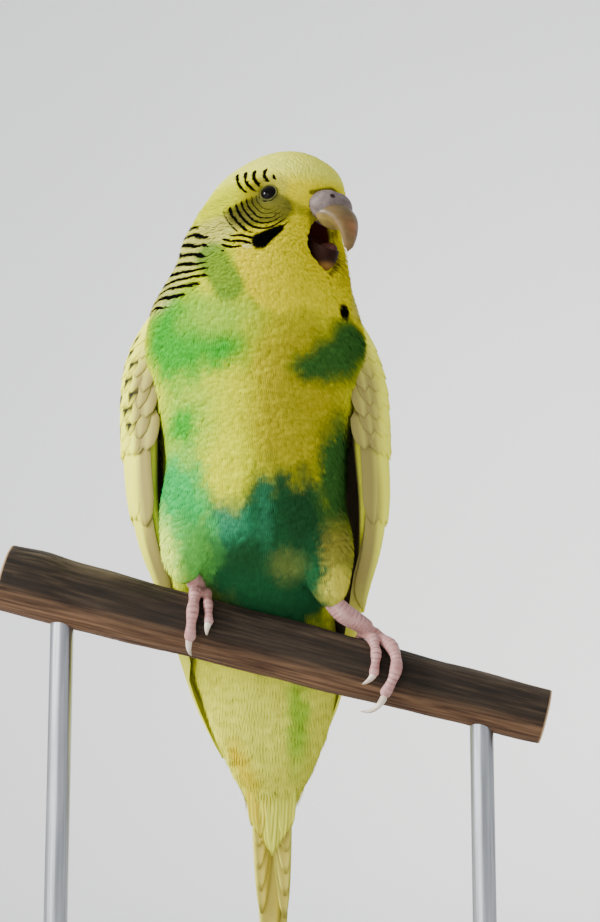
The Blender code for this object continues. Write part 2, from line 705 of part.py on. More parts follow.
def make_tail():
    tail = body_piece("tail", BODY_SECTIONS[0][0], TORSO_TAIL_CUT - GAP / 2)
    vanes = [tail_vane(0.9, 0.8, 0, 0.0, 1.0, 3.4), tail_vane(-0.9, -0.8, 1, 0.0, 0.97, 3.4)]
    for pair, (reach, aside) in enumerate(TAIL_PAIRS):
        for side in (-1, 1):
            vanes.append(tail_vane(side * aside, side * aside, 2 + pair, 0.0, reach, TAIL_HALF))
    for side in (-1, 1):
        vanes.append(tail_vane(side * 2.5, side * 2.9, -1.2, 0.0, 0.30, 2.2))
        vanes.append(tail_vane(side * 2.7, side * 3.2, 8.2, 0.0, 0.24, 2.4))
    vanes.append(tail_vane(0.0, 0.0, -2.4, 0.0, 0.36, 2.8))
    vanes.append(tail_vane(0.0, 0.0, 9.4, 0.0, 0.30, 3.0))
    combine(tail, vanes, "UNION")
    finish_object(tail, "feather", 0.6)


# Toes wrap round the perch, and each claw goes on from its toe's end
def toe_path(toe, swell=0.0):
    name, x_foot, x_end, bow, turn_foot, turn_end, radius = toe[:7]
    path = []
    steps = 6
    for i in range(steps + 1):
        t = i / steps
        x = between(x_foot, x_end, t) + bow * sin(pi * t)
        turn = radians(between(turn_foot, turn_end, t))
        thick = radius * (1.0 - 0.22 * t) * (1.0 + 0.05 * cos(3 * 2 * pi * t))
        path.append((*perch_place(x, turn, perch_radius(x, turn) + GAP + thick), thick))
    return path


def claw_path(toe):
    x_end, turn_end, radius, x_tip, turn_tip, rise = toe[2], toe[5], toe[6], toe[7], toe[8], toe[9]
    path = []
    steps = 4
    thickness = radius * 0.78
    start = turn_end + degrees((thickness * 0.6 + GAP) / (PERCH_RADIUS + thickness)) * (1 if turn_end > 0 else -1)
    for i in range(steps + 1):
        t = i / steps
        x = between(x_end, x_tip, t)
        turn = radians(between(start, turn_tip, t))
        thick = between(CLAW_RADIUS, 0.25, t)
        stand_off = between(GAP + thickness, GAP + 0.3 + rise, t) + 0.5 * rise * sin(pi * t)
        path.append((*perch_place(x, turn, perch_radius(x, turn) + stand_off), thick))
    return path


def make_leg(side_name, thigh_path, shank_path, toes):
    thigh = make_tube("thigh_" + side_name, smooth_path(thigh_path, 9), 16)
    combine(thigh, [body_piece("flank", 60.0, 150.0, GAP), perch_body("branch", GAP)], "DIFFERENCE")
    finish_object(thigh, "green", 0.8)
    foot = make_tube("foot_" + side_name, shank_path, 8)
    combine(foot, [make_tube("toe", toe_path(toe), 7) for toe in toes], "UNION")
    grown = grown_path(smooth_path(thigh_path, 9))
    combine(foot, [make_tube("thigh", grown, 16), perch_body("branch", GAP)], "DIFFERENCE")
    finish_object(foot, "skin", 0.6)
    for toe in toes:
        claw = make_tube("claw_" + side_name + "_" + toe[0], claw_path(toe), 6)
        combine(claw, [make_tube("toe", grown_path(toe_path(toe)), 7)], "DIFFERENCE")
        finish_object(claw, "claw", 0.4)


def make_legs():
    make_leg("right", THIGH_RIGHT, SHANK_RIGHT, TOES_RIGHT)
    make_leg("left", THIGH_LEFT, SHANK_LEFT, TOES_LEFT)


def make_stand():
    base = make_box_base()
    finish_object(base, "stand", 0.6)
    for x, name in ((ROD_SPREAD[0], "stand_rod_right"), (ROD_SPREAD[1], "stand_rod_left")):
        rings = []
        for height in (BASE_THICK + GAP, perch_axis(x)[2]):
            turns = [2 * pi * k / 16 for k in range(16)]
            rings.append([Vector((x + ROD_RADIUS * cos(t), ROD_RADIUS * sin(t), height)) for t in turns])
        rod = skin_rings(name, rings)
        combine(rod, [perch_body("branch", GAP)], "DIFFERENCE")
        finish_object(rod, "stand", 0.4)


def make_box_base():
    rings = []
    corner = 14.0
    mid_x = (ROD_SPREAD[0] + ROD_SPREAD[1]) / 2
    for height, inset in ((0.0, 0.0), (BASE_THICK - 1.0, 0.0), (BASE_THICK, 1.0)):
        ring = []
        for sx, sy, start in ((1, 1, 0), (-1, 1, 1), (-1, -1, 2), (1, -1, 3)):
            for k in range(7):
                turn = pi / 2 * (start + k / 6)
                x = mid_x + sx * (BASE_LENGTH / 2 - corner) + (corner - inset) * cos(turn)
                y = BASE_MID_Y + sy * (BASE_DEPTH / 2 - corner) + (corner - inset) * sin(turn)
                ring.append(Vector((x, y, height)))
        rings.append(ring)
    return skin_rings("stand_base", rings)


def main():
    clear_scene()
    make_head()
    make_eyes()
    make_beak()
    make_scoop()
    make_tongue()
    make_neck_and_torso()
    make_wings()
    make_tail()
    make_legs()
    make_perch()
    make_stand()


main()
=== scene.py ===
# %% [markdown]
# # A budgerigar on a cut branch
#
# This lesson dresses a life-size solid model of a budgerigar. The solid model gives the sizes and
# places. The steps below add one skin, a coat of overlapping feathers, the eyes, bill and feet, the
# branch, the display stand, and the light and camera.
#
# Every length in this file is written in millimetres and turned into metres when a mesh is made.

# %% Load the solid model
from math import cos, degrees, pi, radians, sin, sqrt

import bmesh
import bpy
import numpy as np
from mathutils import Matrix, Vector, kdtree


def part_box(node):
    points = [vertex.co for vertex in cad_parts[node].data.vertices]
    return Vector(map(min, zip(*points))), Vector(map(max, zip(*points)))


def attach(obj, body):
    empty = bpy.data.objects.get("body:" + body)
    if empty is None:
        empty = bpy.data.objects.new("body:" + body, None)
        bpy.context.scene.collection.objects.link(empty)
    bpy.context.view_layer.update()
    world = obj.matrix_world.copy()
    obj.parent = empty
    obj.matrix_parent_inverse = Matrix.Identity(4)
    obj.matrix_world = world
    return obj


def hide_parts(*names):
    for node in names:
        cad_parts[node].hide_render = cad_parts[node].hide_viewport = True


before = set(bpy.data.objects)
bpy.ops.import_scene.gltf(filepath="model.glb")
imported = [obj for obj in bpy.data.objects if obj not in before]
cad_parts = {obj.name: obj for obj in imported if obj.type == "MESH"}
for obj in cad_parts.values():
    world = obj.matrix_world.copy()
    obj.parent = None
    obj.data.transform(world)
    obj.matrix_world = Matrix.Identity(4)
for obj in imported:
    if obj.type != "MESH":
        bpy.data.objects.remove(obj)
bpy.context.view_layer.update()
MM = 0.001
draw = np.random.default_rng(11)
print("solid pieces:", len(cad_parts))

# %% [markdown]
# ## Small helpers
#
# Blender's operators act on everything that is selected, so each helper first clears the selection.
# Colours are given as the 0 to 255 values that a paint chart shows, and `tint` turns them into the
# linear values that shaders mix.

# %% Helpers for selection, colour and meshes
def tint(red, green, blue):
    value = np.array([red, green, blue], float) / 255.0
    return np.where(value <= 0.04045, value / 12.92, ((value + 0.055) / 1.055) ** 2.4)


def pick(*items):
    bpy.ops.object.select_all(action="DESELECT")
    for item in items:
        item.select_set(True)
    bpy.context.view_layer.objects.active = items[0]
    return items[0]


def apply_modifier(item, kind, **settings):
    pick(item)
    change = item.modifiers.new(kind.title(), kind)
    for key, value in settings.items():
        setattr(change, key, value)
    bpy.ops.object.modifier_apply(modifier=change.name)
    return item


def settle(item):
    pick(item)
    bpy.ops.object.transform_apply(location=True, rotation=True, scale=True)
    return item


def join(name, pieces):
    first = pick(*pieces)
    if len(pieces) > 1:
        bpy.ops.object.join()
    first.name = name
    first.data.name = name
    return first


def added(operator, name=None, **settings):
    bpy.ops.object.select_all(action="DESELECT")
    operator(**settings)
    item = bpy.context.object
    if name:
        item.name = name
    return item


def ball(place, radii, turn=0.0, segments=32, rings=20, name=None):
    item = added(bpy.ops.mesh.primitive_uv_sphere_add, name, segments=segments, ring_count=rings,
                 radius=MM, location=Vector(place) * MM)
    item.rotation_euler = (0.0, 0.0, turn)
    item.scale = radii
    return settle(item)


# Small balls along a path whose rows are x, y, z and radius
def ball_chain(path, segments, rings):
    return [ball((x, y, z), (radius, radius, radius), 0.0, segments, rings) for x, y, z, radius in path]


# A ball of radius one, together with its points, ready to be drawn out into another form
def unit_ball(name, segments, rings):
    item = ball((0.0, 0.0, 0.0), (1.0, 1.0, 1.0), 0.0, segments, rings, name)
    return item, read_points(item)


def soften(item, angle=50.0):
    pick(item)
    bpy.ops.object.shade_smooth_by_angle(angle=radians(angle))
    return item


def cut(item, others, operation="DIFFERENCE"):
    for other in others:
        apply_modifier(item, "BOOLEAN", object=other, operation=operation, solver="EXACT")
        bpy.data.objects.remove(other, do_unlink=True)
    return item


def mesh_points(mesh):
    flat = np.empty(len(mesh.vertices) * 3)
    mesh.vertices.foreach_get("co", flat)
    return flat.reshape(-1, 3) / MM


def read_points(item):
    return mesh_points(item.data)


def write_points(item, points):
    item.data.vertices.foreach_set("co", (np.asarray(points) * MM).ravel())
    item.data.update()


def mesh_from_arrays(name, points, triangles, colours, patches=None, values=None):
    mesh = bpy.data.meshes.new(name)
    count = len(triangles)
    mesh.vertices.add(len(points))
    mesh.vertices.foreach_set("co", (np.asarray(points) * MM).ravel())
    mesh.loops.add(count * 3)
    mesh.loops.foreach_set("vertex_index", np.asarray(triangles, np.int32).ravel())
    mesh.polygons.add(count)
    mesh.polygons.foreach_set("loop_start", np.arange(count, dtype=np.int32) * 3)
    mesh.polygons.foreach_set("use_smooth", np.ones(count, bool))
    mesh.update(calc_edges=True)
    paint_points(mesh, colours)
    if patches is not None:
        layer = mesh.uv_layers.new(name="OFBake")
        layer.uv.foreach_set("vector", np.asarray(patches)[np.asarray(triangles).ravel()].ravel())
    for key, value in (values or {}).items():
        write_values(mesh, key, value)
    item = bpy.data.objects.new(name, mesh)
    bpy.context.scene.collection.objects.link(item)
    return item


def write_values(mesh, name, values):
    layer = mesh.attributes.new(name, "FLOAT", "POINT")
    layer.data.foreach_set("value", np.asarray(values, float))


def paint_points(mesh, colours):
    layer = mesh.color_attributes.new(name="Markings", type="FLOAT_COLOR", domain="POINT")
    values = np.ones((len(colours), 4))
    values[:, :3] = colours
    layer.data.foreach_set("color", values.ravel())


def dress(item, material, slot, *nodes):
    item.data.materials.clear()
    item.data.materials.append(material)
    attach(item, "root")
    if nodes:
        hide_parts(*nodes)
    print(item.name, "has", sum(len(f.vertices) - 2 for f in item.data.polygons), "triangles")
    return item


# %% [markdown]
# ## Finishes
#
# A real surface is never one flat colour. Each finish below starts from a Principled shader and adds
# what the eye sees close up: fine noise in the colour, a small bump, and a roughness that suits it.

# %% Helpers for materials
def new_finish(name, roughness, specular=0.5, coat=0.0, sheen=0.0, glow=0.0, glow_mm=(1.0, 0.2, 0.1)):
    finish = bpy.data.materials.new(name)
    finish.use_nodes = True
    shader = finish.node_tree.nodes["Principled BSDF"]
    settings = {"Roughness": roughness, "Specular IOR Level": specular, "Sheen Weight": sheen,
                "Coat Weight": coat, "Coat Roughness": 0.12}
    if glow:
        settings["Subsurface Weight"] = glow
        settings["Subsurface Radius"] = [reach * MM for reach in glow_mm]
    for socket, value in settings.items():
        shader.inputs[socket].default_value = value
    return finish, finish.node_tree, shader


def noise(tree, scale, detail=3.0, stretch=(1.0, 1.0, 1.0), turn=(0.0, 0.0, 0.0)):
    place = tree.nodes.new("ShaderNodeTexCoord")
    fit = tree.nodes.new("ShaderNodeMapping")
    fit.vector_type = "TEXTURE"
    fit.inputs["Scale"].default_value = [1.0 / s for s in stretch]
    fit.inputs["Rotation"].default_value = turn
    tree.links.new(place.outputs["Object"], fit.inputs["Vector"])
    grain = tree.nodes.new("ShaderNodeTexNoise")
    grain.inputs["Scale"].default_value = scale
    grain.inputs["Detail"].default_value = detail
    tree.links.new(fit.outputs["Vector"], grain.inputs["Vector"])
    return grain.outputs["Fac"]


def ramp(tree, value, *stops):
    scale = tree.nodes.new("ShaderNodeValToRGB")
    tree.links.new(value, scale.inputs["Fac"])
    marks = scale.color_ramp.elements
    while len(marks) < len(stops):
        marks.new(0.5)
    for mark, (place, colour) in zip(marks, stops):
        mark.position = place
        mark.color = (*colour, 1.0)
    return scale.outputs["Color"]


def mix(tree, share, first, second, kind="MIX"):
    blend = tree.nodes.new("ShaderNodeMix")
    blend.data_type = "RGBA"
    blend.blend_type = kind
    for socket, value in (("Factor", share), ("A", first), ("B", second)):
        port = next(s for s in blend.inputs if s.name == socket and s.enabled)
        if isinstance(value, bpy.types.NodeSocket):
            tree.links.new(value, port)
        else:
            port.default_value = value if socket == "Factor" else (*value, 1.0)
    return next(s for s in blend.outputs if s.enabled)


def bump(tree, shader, height, strength, distance_mm):
    raised = tree.nodes.new("ShaderNodeBump")
    raised.inputs["Strength"].default_value = strength
    raised.inputs["Distance"].default_value = distance_mm * MM
    tree.links.new(height, raised.inputs["Height"])
    tree.links.new(raised.outputs["Normal"], shader.inputs["Normal"])


def attribute_value(tree, name, kind="Fac"):
    reader = tree.nodes.new("ShaderNodeAttribute")
    reader.attribute_name = name
    return reader.outputs[kind]


def markings_colour(tree):
    return attribute_value(tree, "Markings", "Color")


# A finish mottled between two colours. The colour may be changed by a function of the node tree, and
# relief gives a bump's noise scale, noise detail, strength and height in millimetres.
def mottled(made, grain, dark, light, relief=None, change=None, stops=(0.3, 0.7)):
    finish, tree, shader = made
    shade = ramp(tree, noise(tree, *grain), (stops[0], dark), (stops[1], light))
    if change:
        shade = change(tree, shade)
    tree.links.new(shade, shader.inputs["Base Color"])
    if relief:
        bump(tree, shader, noise(tree, *relief[:2]), *relief[2:])
    return finish


def over_markings(tree, shade):
    return mix(tree, 1.0, markings_colour(tree), shade, "MULTIPLY")


def reckon(tree, kind, first, second=0.0):
    step = tree.nodes.new("ShaderNodeMath")
    step.operation = kind
    for port, value in zip(step.inputs, (first, second)):
        if isinstance(value, bpy.types.NodeSocket):
            tree.links.new(value, port)
        else:
            port.default_value = value
    return step.outputs[0]


# One where a bar's middle passes, falling to nothing beyond its thickness
def bar_share(tree):
    count = reckon(tree, "FRACT", attribute_value(tree, "BarPhase"))
    near = reckon(tree, "ABSOLUTE", reckon(tree, "SUBTRACT", reckon(tree, "MULTIPLY", count, 2.0), 1.0))
    rise = reckon(tree, "ADD", near, reckon(tree, "SUBTRACT", attribute_value(tree, "BarThick"), 1.12))
    fit = tree.nodes.new("ShaderNodeMapRange")
    fit.interpolation_type = "SMOOTHSTEP"
    fit.inputs["From Min"].default_value = -0.1
    fit.inputs["From Max"].default_value = 0.1
    tree.links.new(rise, fit.inputs["Value"])
    return fit.outputs["Result"]


# Feathers carry their colour on their own points, broken by a very fine grain and by the bars
def barred_markings(tree, fleck):
    barred = mix(tree, bar_share(tree), markings_colour(tree), BAR_BLACK)
    return mix(tree, 1.0, barred, fleck, "MULTIPLY")


WHITE, BLACK = (1.0, 1.0, 1.0), (0.0, 0.0, 0.0)
BAR_BLACK = (0.004, 0.004, 0.003)
plumage = mottled(new_finish("plumage", 0.8, 0.0), (2600.0, 2.0), (0.88, 0.88, 0.88), WHITE,
                  change=barred_markings)
print("feather finishes ready")

# %% [markdown]
# ## The body as one surface
#
# A bird's body has no seams under its feathers. The solid model builds it from level slices, and the
# same slices are used here as a function: it says how far any point lies outside the body. The skin is
# pulled onto that function, and every feather is laid along it, so that both follow one smooth form.

# %% The body's slices and its distance function
# columns: height, middle x, middle y, half width, front depth, back depth, turn in degrees
SLICES = np.array((
    (52.0, 2.0, 25.0, 6.3, 3.0, 3.0, 0.0),
    (62.0, 1.9, 21.9, 10.4, 5.5, 5.0, 0.0),
    (70.0, 1.5, 19.7, 13.6, 7.6, 7.3, 0.0),
    (78.0, 1.0, 17.0, 15.4, 8.8, 8.5, 0.0),
    (84.0, 0.5, 15.0, 16.2, 9.2, 9.5, 0.0),
    (92.0, -0.5, 10.5, 17.0, 11.5, 13.0, 0.0),
    (98.0, -1.2, 6.5, 18.4, 15.0, 16.5, 0.0),
    (105.0, -1.6, 2.0, 19.6, 18.5, 20.5, 0.0),
    (115.0, -2.0, -0.5, 20.8, 21.5, 21.5, 0.0),
    (126.0, -2.0, -2.0, 21.8, 22.2, 21.0, 0.0),
    (140.0, -1.6, -2.5, 23.4, 21.8, 20.5, 0.0),
    (150.0, -1.6, -3.6, 24.2, 21.6, 20.6, 5.0),
    (157.0, -1.7, -4.8, 23.6, 21.5, 21.4, 12.0),
    (163.0, -1.1, -6.0, 21.0, 20.3, 22.8, 22.0),
    (169.5, 0.0, -7.3, 17.3, 18.4, 23.4, 34.0),
    (175.0, 1.8, -7.9, 14.5, 16.9, 23.2, 43.0),
    (182.0, 4.0, -8.0, 13.0, 16.4, 19.3, 45.0),
))
CROWN = 194.4
HEAD_WIDEST = 182.0
HEAD_TURN = radians(45.0)
HEAD_MIDDLE = (4.0, -8.0)
HEAD_LEAN = 0.9
# columns: x, y, height, radius
THIGHS = (
    ((-12.5, -3.5, 124.0, 7.0), (-14.6, -7.6, 114.0, 7.8), (-16.0, -9.4, 105.0, 6.2), (-15.8, -9.6, 99.2, 3.2)),
    ((9.5, -1.5, 113.0, 7.0), (12.8, -5.4, 104.0, 7.0), (14.6, -6.8, 97.0, 5.0), (15.2, -6.4, 93.2, 3.0)),
)


# A smooth curve through a table's rows, read at many places at once
def read_table(rows, where):
    rows = np.asarray(rows, float)
    keys, values = rows[:, 0], rows[:, 1:]
    slopes = np.empty_like(values)
    slopes[0] = (values[1] - values[0]) / (keys[1] - keys[0])
    slopes[-1] = (values[-1] - values[-2]) / (keys[-1] - keys[-2])
    slopes[1:-1] = (values[2:] - values[:-2]) / (keys[2:] - keys[:-2])[:, None]
    where = np.clip(np.asarray(where, float), keys[0], keys[-1])
    row = np.clip(np.searchsorted(keys, where, side="right") - 1, 0, len(keys) - 2)
    step = (keys[row + 1] - keys[row])[..., None]
    t = (where - keys[row])[..., None] / step
    start = (2 * t**3 - 3 * t**2 + 1) * values[row] + (t**3 - 2 * t**2 + t) * step * slopes[row]
    return start + (3 * t**2 - 2 * t**3) * values[row + 1] + (t**3 - t**2) * step * slopes[row + 1]


def between(a, b, t):
    return a + (b - a) * t


def ease(low, high, value):
    t = np.clip((value - low) / (high - low), 0.0, 1.0)
    return t * t * (3.0 - 2.0 * t)


# One at the middle, falling off on both sides of it
def bell(value, middle, spread):
    return np.exp(-(((value - middle) / spread) ** 2))


def apart(points, centre):
    return np.sqrt(((points - np.array(centre)) ** 2).sum(-1))


def unit_rows(rows):
    return rows / np.linalg.norm(rows, axis=1)[:, None]


def smooth_path(path, steps):
    rows = [(i, *point) for i, point in enumerate(path)]
    return read_table(rows, np.linspace(0.0, len(path) - 1.0, steps + 1))


def slice_at(height):
    rows = read_table(SLICES, np.minimum(height, HEAD_WIDEST))
    return np.moveaxis(rows, -1, 0), (height - HEAD_WIDEST) / (CROWN - HEAD_WIDEST)


# How far outside the trunk a point lies, and its angle round it: 0 is straight ahead, and positive
# angles go to the bird's right
def trunk(points):
    (middle_x, middle_y, half, front, back, turn), rise = slice_at(points[..., 2])
    rise = np.clip(rise, 0.0, 3.0)
    lean = HEAD_LEAN * np.minimum(rise, 1.0) ** 2
    dx = points[..., 0] - middle_x - lean
    dy = points[..., 1] - middle_y + lean
    turn = np.radians(turn)
    ahead = dx * np.sin(turn) - dy * np.cos(turn)
    aside = -dx * np.cos(turn) - dy * np.sin(turn)
    ahead = ahead / np.where(ahead > 0, front, back)
    aside = aside / half
    reach = np.sqrt(ahead**2 + aside**2 + rise**2)
    return (reach - 1.0) * np.minimum(half, front), np.arctan2(aside, ahead)


def body_angle(points):
    return trunk(points)[1]


# A hollow down each flank, where the body falls away behind the wing's front edge. The body's colour
# is darkened in it as painted shade.
def flank_hollow(points):
    return bell(np.abs(body_angle(points)), 1.42, 0.26) * np.exp(-(((points[..., 2] - 121.0) / 12.0) ** 4))


def limb_distance(points, path):
    nearest = np.full(points.shape[:-1], 1e3)
    for x, y, z, radius in smooth_path(path, 12):
        nearest = np.minimum(nearest, apart(points, (x, y, z)) - radius)
    return nearest


def outside_body(points):
    depth = trunk(points)[0] + np.where(points[..., 0] > 0.0, 0.8, 2.0) * flank_hollow(points)
    near = (points[..., 2] < 134.0) & (points[..., 2] > 86.0)
    if near.any():
        some = points[near]
        value = depth[near]
        for path in THIGHS:
            limb = limb_distance(some, path)
            share = np.clip(0.5 + 0.5 * (limb - value) / 2.0, 0.0, 1.0)
            value = between(limb, value, share) - 2.0 * share * (1.0 - share)
        depth[near] = value
    return depth


# Slides points onto the body at a given depth and returns them with the way out
def lay_on_body(points, depth=0.0, passes=2):
    points = np.array(points, float)
    small = 0.05
    for _ in range(passes):
        here = outside_body(points)
        slope = np.stack([(outside_body(points + small * axis) - here) / small for axis in np.eye(3)], -1)
        size = np.maximum((slope**2).sum(-1), 0.2)
        points -= slope * ((here - depth) / size)[..., None]
    return points, slope / np.sqrt(size)[..., None]


def middle_of(node):
    low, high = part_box(node)
    return (low + high) / 2.0 / MM


# Places in the head's own frame: ahead, to the bird's right, height
def to_head(ahead, aside, height):
    x = HEAD_MIDDLE[0] + ahead * sin(HEAD_TURN) - aside * cos(HEAD_TURN)
    y = HEAD_MIDDLE[1] - ahead * cos(HEAD_TURN) - aside * sin(HEAD_TURN)
    return np.stack([x, y, height], -1)


def head_place(ahead, aside, height):
    return Vector(to_head(ahead, aside, height))


# The way back: how far ahead and to the bird's right a point lies from a place in the head
def from_head(points, home):
    dx, dy = points[..., 0] - home[0], points[..., 1] - home[1]
    return dx * sin(HEAD_TURN) - dy * cos(HEAD_TURN), -dx * cos(HEAD_TURN) - dy * sin(HEAD_TURN)


EYES = {1: middle_of("eye_right"), -1: middle_of("eye_left")}
EYE_RADIUS = 2.3
BARE_RADIUS = 2.4
MOUTH = head_place(14.2, 1.2, 169.8)
MOUTH_RADII = (5.0, 4.4, 5.6)
SCOOP = head_place(13.9, 0.8, 168.4)
SCOOP_RADII = (4.1, 3.3, 5.2)
CERE = head_place(15.4, 0.0, 177.6)
CERE_RADII = (4.6, 5.6, 3.9)
TURN_HEAD = HEAD_TURN - pi / 2
print("the eye on the bird's right is at", [round(float(v), 1) for v in EYES[1]])


# How far a point lies outside an ellipsoid of the head, as a share of its radii
def outside_ellipsoid(points, centre, radii):
    ahead, aside = from_head(points, centre)
    rise = points[..., 2] - centre[2]
    return np.sqrt((ahead / radii[0]) ** 2 + (aside / radii[1]) ** 2 + (rise / radii[2]) ** 2)

# %% [markdown]
# ## Markings
#
# This bird is a pied one: clear yellow ground with loose patches of green, black bars on the nape and
# above the eye, fine arcs on the cheek, and a dark patch under it. One function gives the colour of any
# point, so the skin and every feather carry the same pattern. Each patch is a soft ellipsoid in space.
# A few patches, a darkening in each flank's hollow and a paler crown are painted light and shade.

# %% The colour of any point of the body
LEMON = tint(224, 228, 0)
GOLD = tint(236, 222, 0)
AMBER = tint(236, 210, 10)
STRAW = tint(240, 240, 90)
OCHRE = tint(186, 174, 30)
LEAF = tint(62, 172, 42)
LIME = tint(164, 206, 52)
TEAL = tint(56, 144, 98)
FOREST = tint(34, 88, 50)
DEEP = tint(58, 102, 42)
SHADE = tint(34, 76, 42)
MINT = tint(40, 188, 84)
OLIVE = tint(110, 108, 44)
INK = tint(10, 11, 8)
MAROON = tint(62, 22, 16)

# columns: centre, radii, softness, colour
PATCHES = (
    ((9.0, -22.0, 133.0), (15.0, 16.0, 24.0), 0.6, OCHRE),
    ((-9.0, -24.0, 132.0), (6.0, 10.0, 15.0), 0.8, LEMON),
    ((-17.0, -18.0, 128.0), (7.0, 14.0, 14.0), 0.8, LIME),
    ((-18.5, -20.0, 148.0), (9.8, 14.0, 10.0), 0.45, LEAF),
    ((-9.0, -24.0, 145.0), (6.0, 9.0, 4.6), 0.8, LEAF),
    ((-9.0, -23.0, 152.0), (7.5, 9.0, 4.0), 0.9, LIME),
    ((11.5, -21.0, 141.0), (5.4, 9.0, 3.4), 0.6, DEEP),
    ((16.5, -17.0, 144.2), (5.8, 12.0, 5.0), 0.5, DEEP),
    ((20.0, -14.0, 148.5), (4.6, 12.0, 5.6), 0.4, DEEP),
    ((-17.3, -18.0, 128.6), (3.8, 8.0, 3.8), 0.7, LEAF),
    ((2.5, -14.0, 95.5), (19.0, 26.0, 23.0), 0.2, FOREST),
    ((-7.0, -20.0, 107.0), (5.0, 10.0, 4.6), 0.8, TEAL),
    ((1.0, -20.0, 109.0), (1.4, 12.0, 7.0), 0.9, tint(50, 122, 82)),
    ((-4.0, -18.0, 100.5), (5.4, 10.0, 3.6), 0.8, SHADE),
    ((9.0, -18.0, 109.0), (5.0, 12.0, 7.0), 0.8, SHADE),
    ((17.0, -10.0, 119.0), (6.0, 14.0, 13.0), 0.4, DEEP),
    ((-18.6, -11.0, 111.0), (8.4, 16.0, 12.0), 0.35, MINT),
    ((-15.5, -12.0, 101.5), (5.0, 12.0, 6.0), 0.7, tint(112, 204, 84)),
    ((-6.5, -22.0, 118.5), (4.4, 10.0, 7.4), 0.5, LEMON),
    ((5.6, -8.8, 99.4), (3.2, 9.0, 2.6), 0.9, tint(104, 122, 58)),
    # Painted shade: the bird's left thigh, away from the key lamp, is darkened from yellow to khaki here
    ((17.0, -9.0, 102.5), (3.6, 10.0, 6.0), 0.6, tint(150, 144, 56)),
    ((17.2, -9.0, 94.5), (3.8, 10.0, 4.4), 0.6, tint(216, 206, 74)),
    # Painted light: a brighter yellow under the bird's right thigh, where the body is in shade
    ((-23.0, -9.0, 99.0), (4.8, 12.0, 10.0), 0.7, tint(236, 255, 92)),
    ((8.0, 14.0, 68.0), (2.4, 8.0, 12.0), 0.7, LIME),
    # Painted light: a brighter yellow in the gap between the body's side and the wing, below the branch
    ((-12.0, 12.0, 76.0), (7.0, 16.0, 14.0), 0.8, tint(255, 255, 78)),
    ((-6.0, 20.0, 60.5), (1.6, 10.0, 3.2), 0.8, AMBER),
    ((-4.0, 20.0, 56.5), (1.7, 10.0, 3.0), 0.8, AMBER),
    ((-2.0, 20.0, 52.5), (1.6, 10.0, 3.0), 0.8, AMBER),
)
print("body patches:", len(PATCHES))


def blend_in(colour, share, other):
    return colour + (other - colour) * share[..., None]


def body_colour(points):
    height = points[..., 2]
    colour = np.zeros(points.shape) + LEMON
    colour = blend_in(colour, 0.8 * ease(92.0, 74.0, height), STRAW)
    front = ease(10.0, 0.0, points[..., 1] - 0.45 * np.clip(104.0 - height, 0.0, 40.0))
    wave = 0.06 * np.sin(points[..., 0] * 1.1 + height * 0.35)
    wave = wave + 0.05 * np.sin(height * 0.9 - points[..., 0] * 0.6)
    for centre, radii, softness, patch in PATCHES:
        spread = np.array(radii) * (1.0 + wave[..., None])
        reach = np.sqrt((((points - centre) / spread) ** 2).sum(-1))
        colour = blend_in(colour, (1.0 - ease(1.0 - softness, 1.0 + softness, reach)) * front, patch)
    # Painted shade: the colour is darkened by up to 0.55 in each flank's hollow
    colour = colour * (1.0 - 0.55 * flank_hollow(points))[..., None]
    return head_colour(points, colour)


# Marks of the face are laid out on a flat card beside the cheek, in millimetres from the eye.
# The card stands at half a right angle to the bill, and the left cheek is its mirror image.
CARD_HOME = (1.7, -22.2, 180.1)


def card(points):
    ahead, aside = from_head(points, HEAD_MIDDLE)
    dx, dy, dz = np.moveaxis(to_head(ahead, np.abs(aside), points[..., 2]) - CARD_HOME, -1, 0)
    return dx, 0.978 * dz - 0.208 * dy


def streak(u, v, start, end, thick_start, thick_end):
    run = np.array(end) - np.array(start)
    t = np.clip(((u - start[0]) * run[0] + (v - start[1]) * run[1]) / (run**2).sum(), 0.0, 1.0)
    return np.hypot(u - start[0] - run[0] * t, v - start[1] - run[1] * t) / between(thick_start, thick_end, t)


def inside(low, high, value, soft):
    return ease(low - soft, low + soft, value) * ease(high + soft, high - soft, value)


# The line above which the cheek's olive and its arcs end
def above_brow(u, v):
    return v + 0.98 - 0.454 * (u + 4.18)


# The mask's lower edge on the card, from the cheek to the throat
MASK_EDGE = (
    (-8.2, -7.2, -5.8, -2.1, 2.3, 8.0, 14.0, 18.0),
    (-11.0, -16.0, -21.0, -25.0, -27.0, -25.5, -27.5, -31.0),
)
# columns: strength, fades out at, full at, start, end, thickness at both, colour
NECK_GREEN = (0.85, 1.4, 0.7, (-12.6, -14.5), (-8.6, -21.0), 3.4, 3.2, tint(100, 150, 46))
FACE_MARKS = (
    (0.5, 1.3, 0.6, (-0.6, 0.8), (1.6, 1.6), 3.4, 2.8, tint(142, 142, 80)),
    (0.5, 1.6, 0.6, (2.0, -2.2), (8.4, -4.4), 1.5, 0.9, OLIVE),
    (0.55, 1.3, 0.7, (-5.3, -12.2), (-4.4, -12.0), 0.7, 0.8, tint(240, 240, 150)),
    (1.0, 1.12, 0.92, (-2.0, -11.1), (2.5, -8.1), 1.85, 0.75, INK),
    (0.6, 1.8, 0.5, (9.4, -4.6), (9.8, -7.6), 0.7, 0.9, tint(58, 34, 14)),
    (0.8, 1.5, 0.7, (9.2, 0.1), (13.6, 1.0), 0.5, 0.5, tint(60, 54, 34)),
)
THROAT_SPOT = (18.3, -15.7, 154.9)


def face_mark(colour, near, u, v, mark):
    strength, out, full, start, end, thick_start, thick_end, paint = mark
    share = near * strength * ease(out, full, streak(u, v, start, end, thick_start, thick_end))
    return blend_in(colour, share, paint)


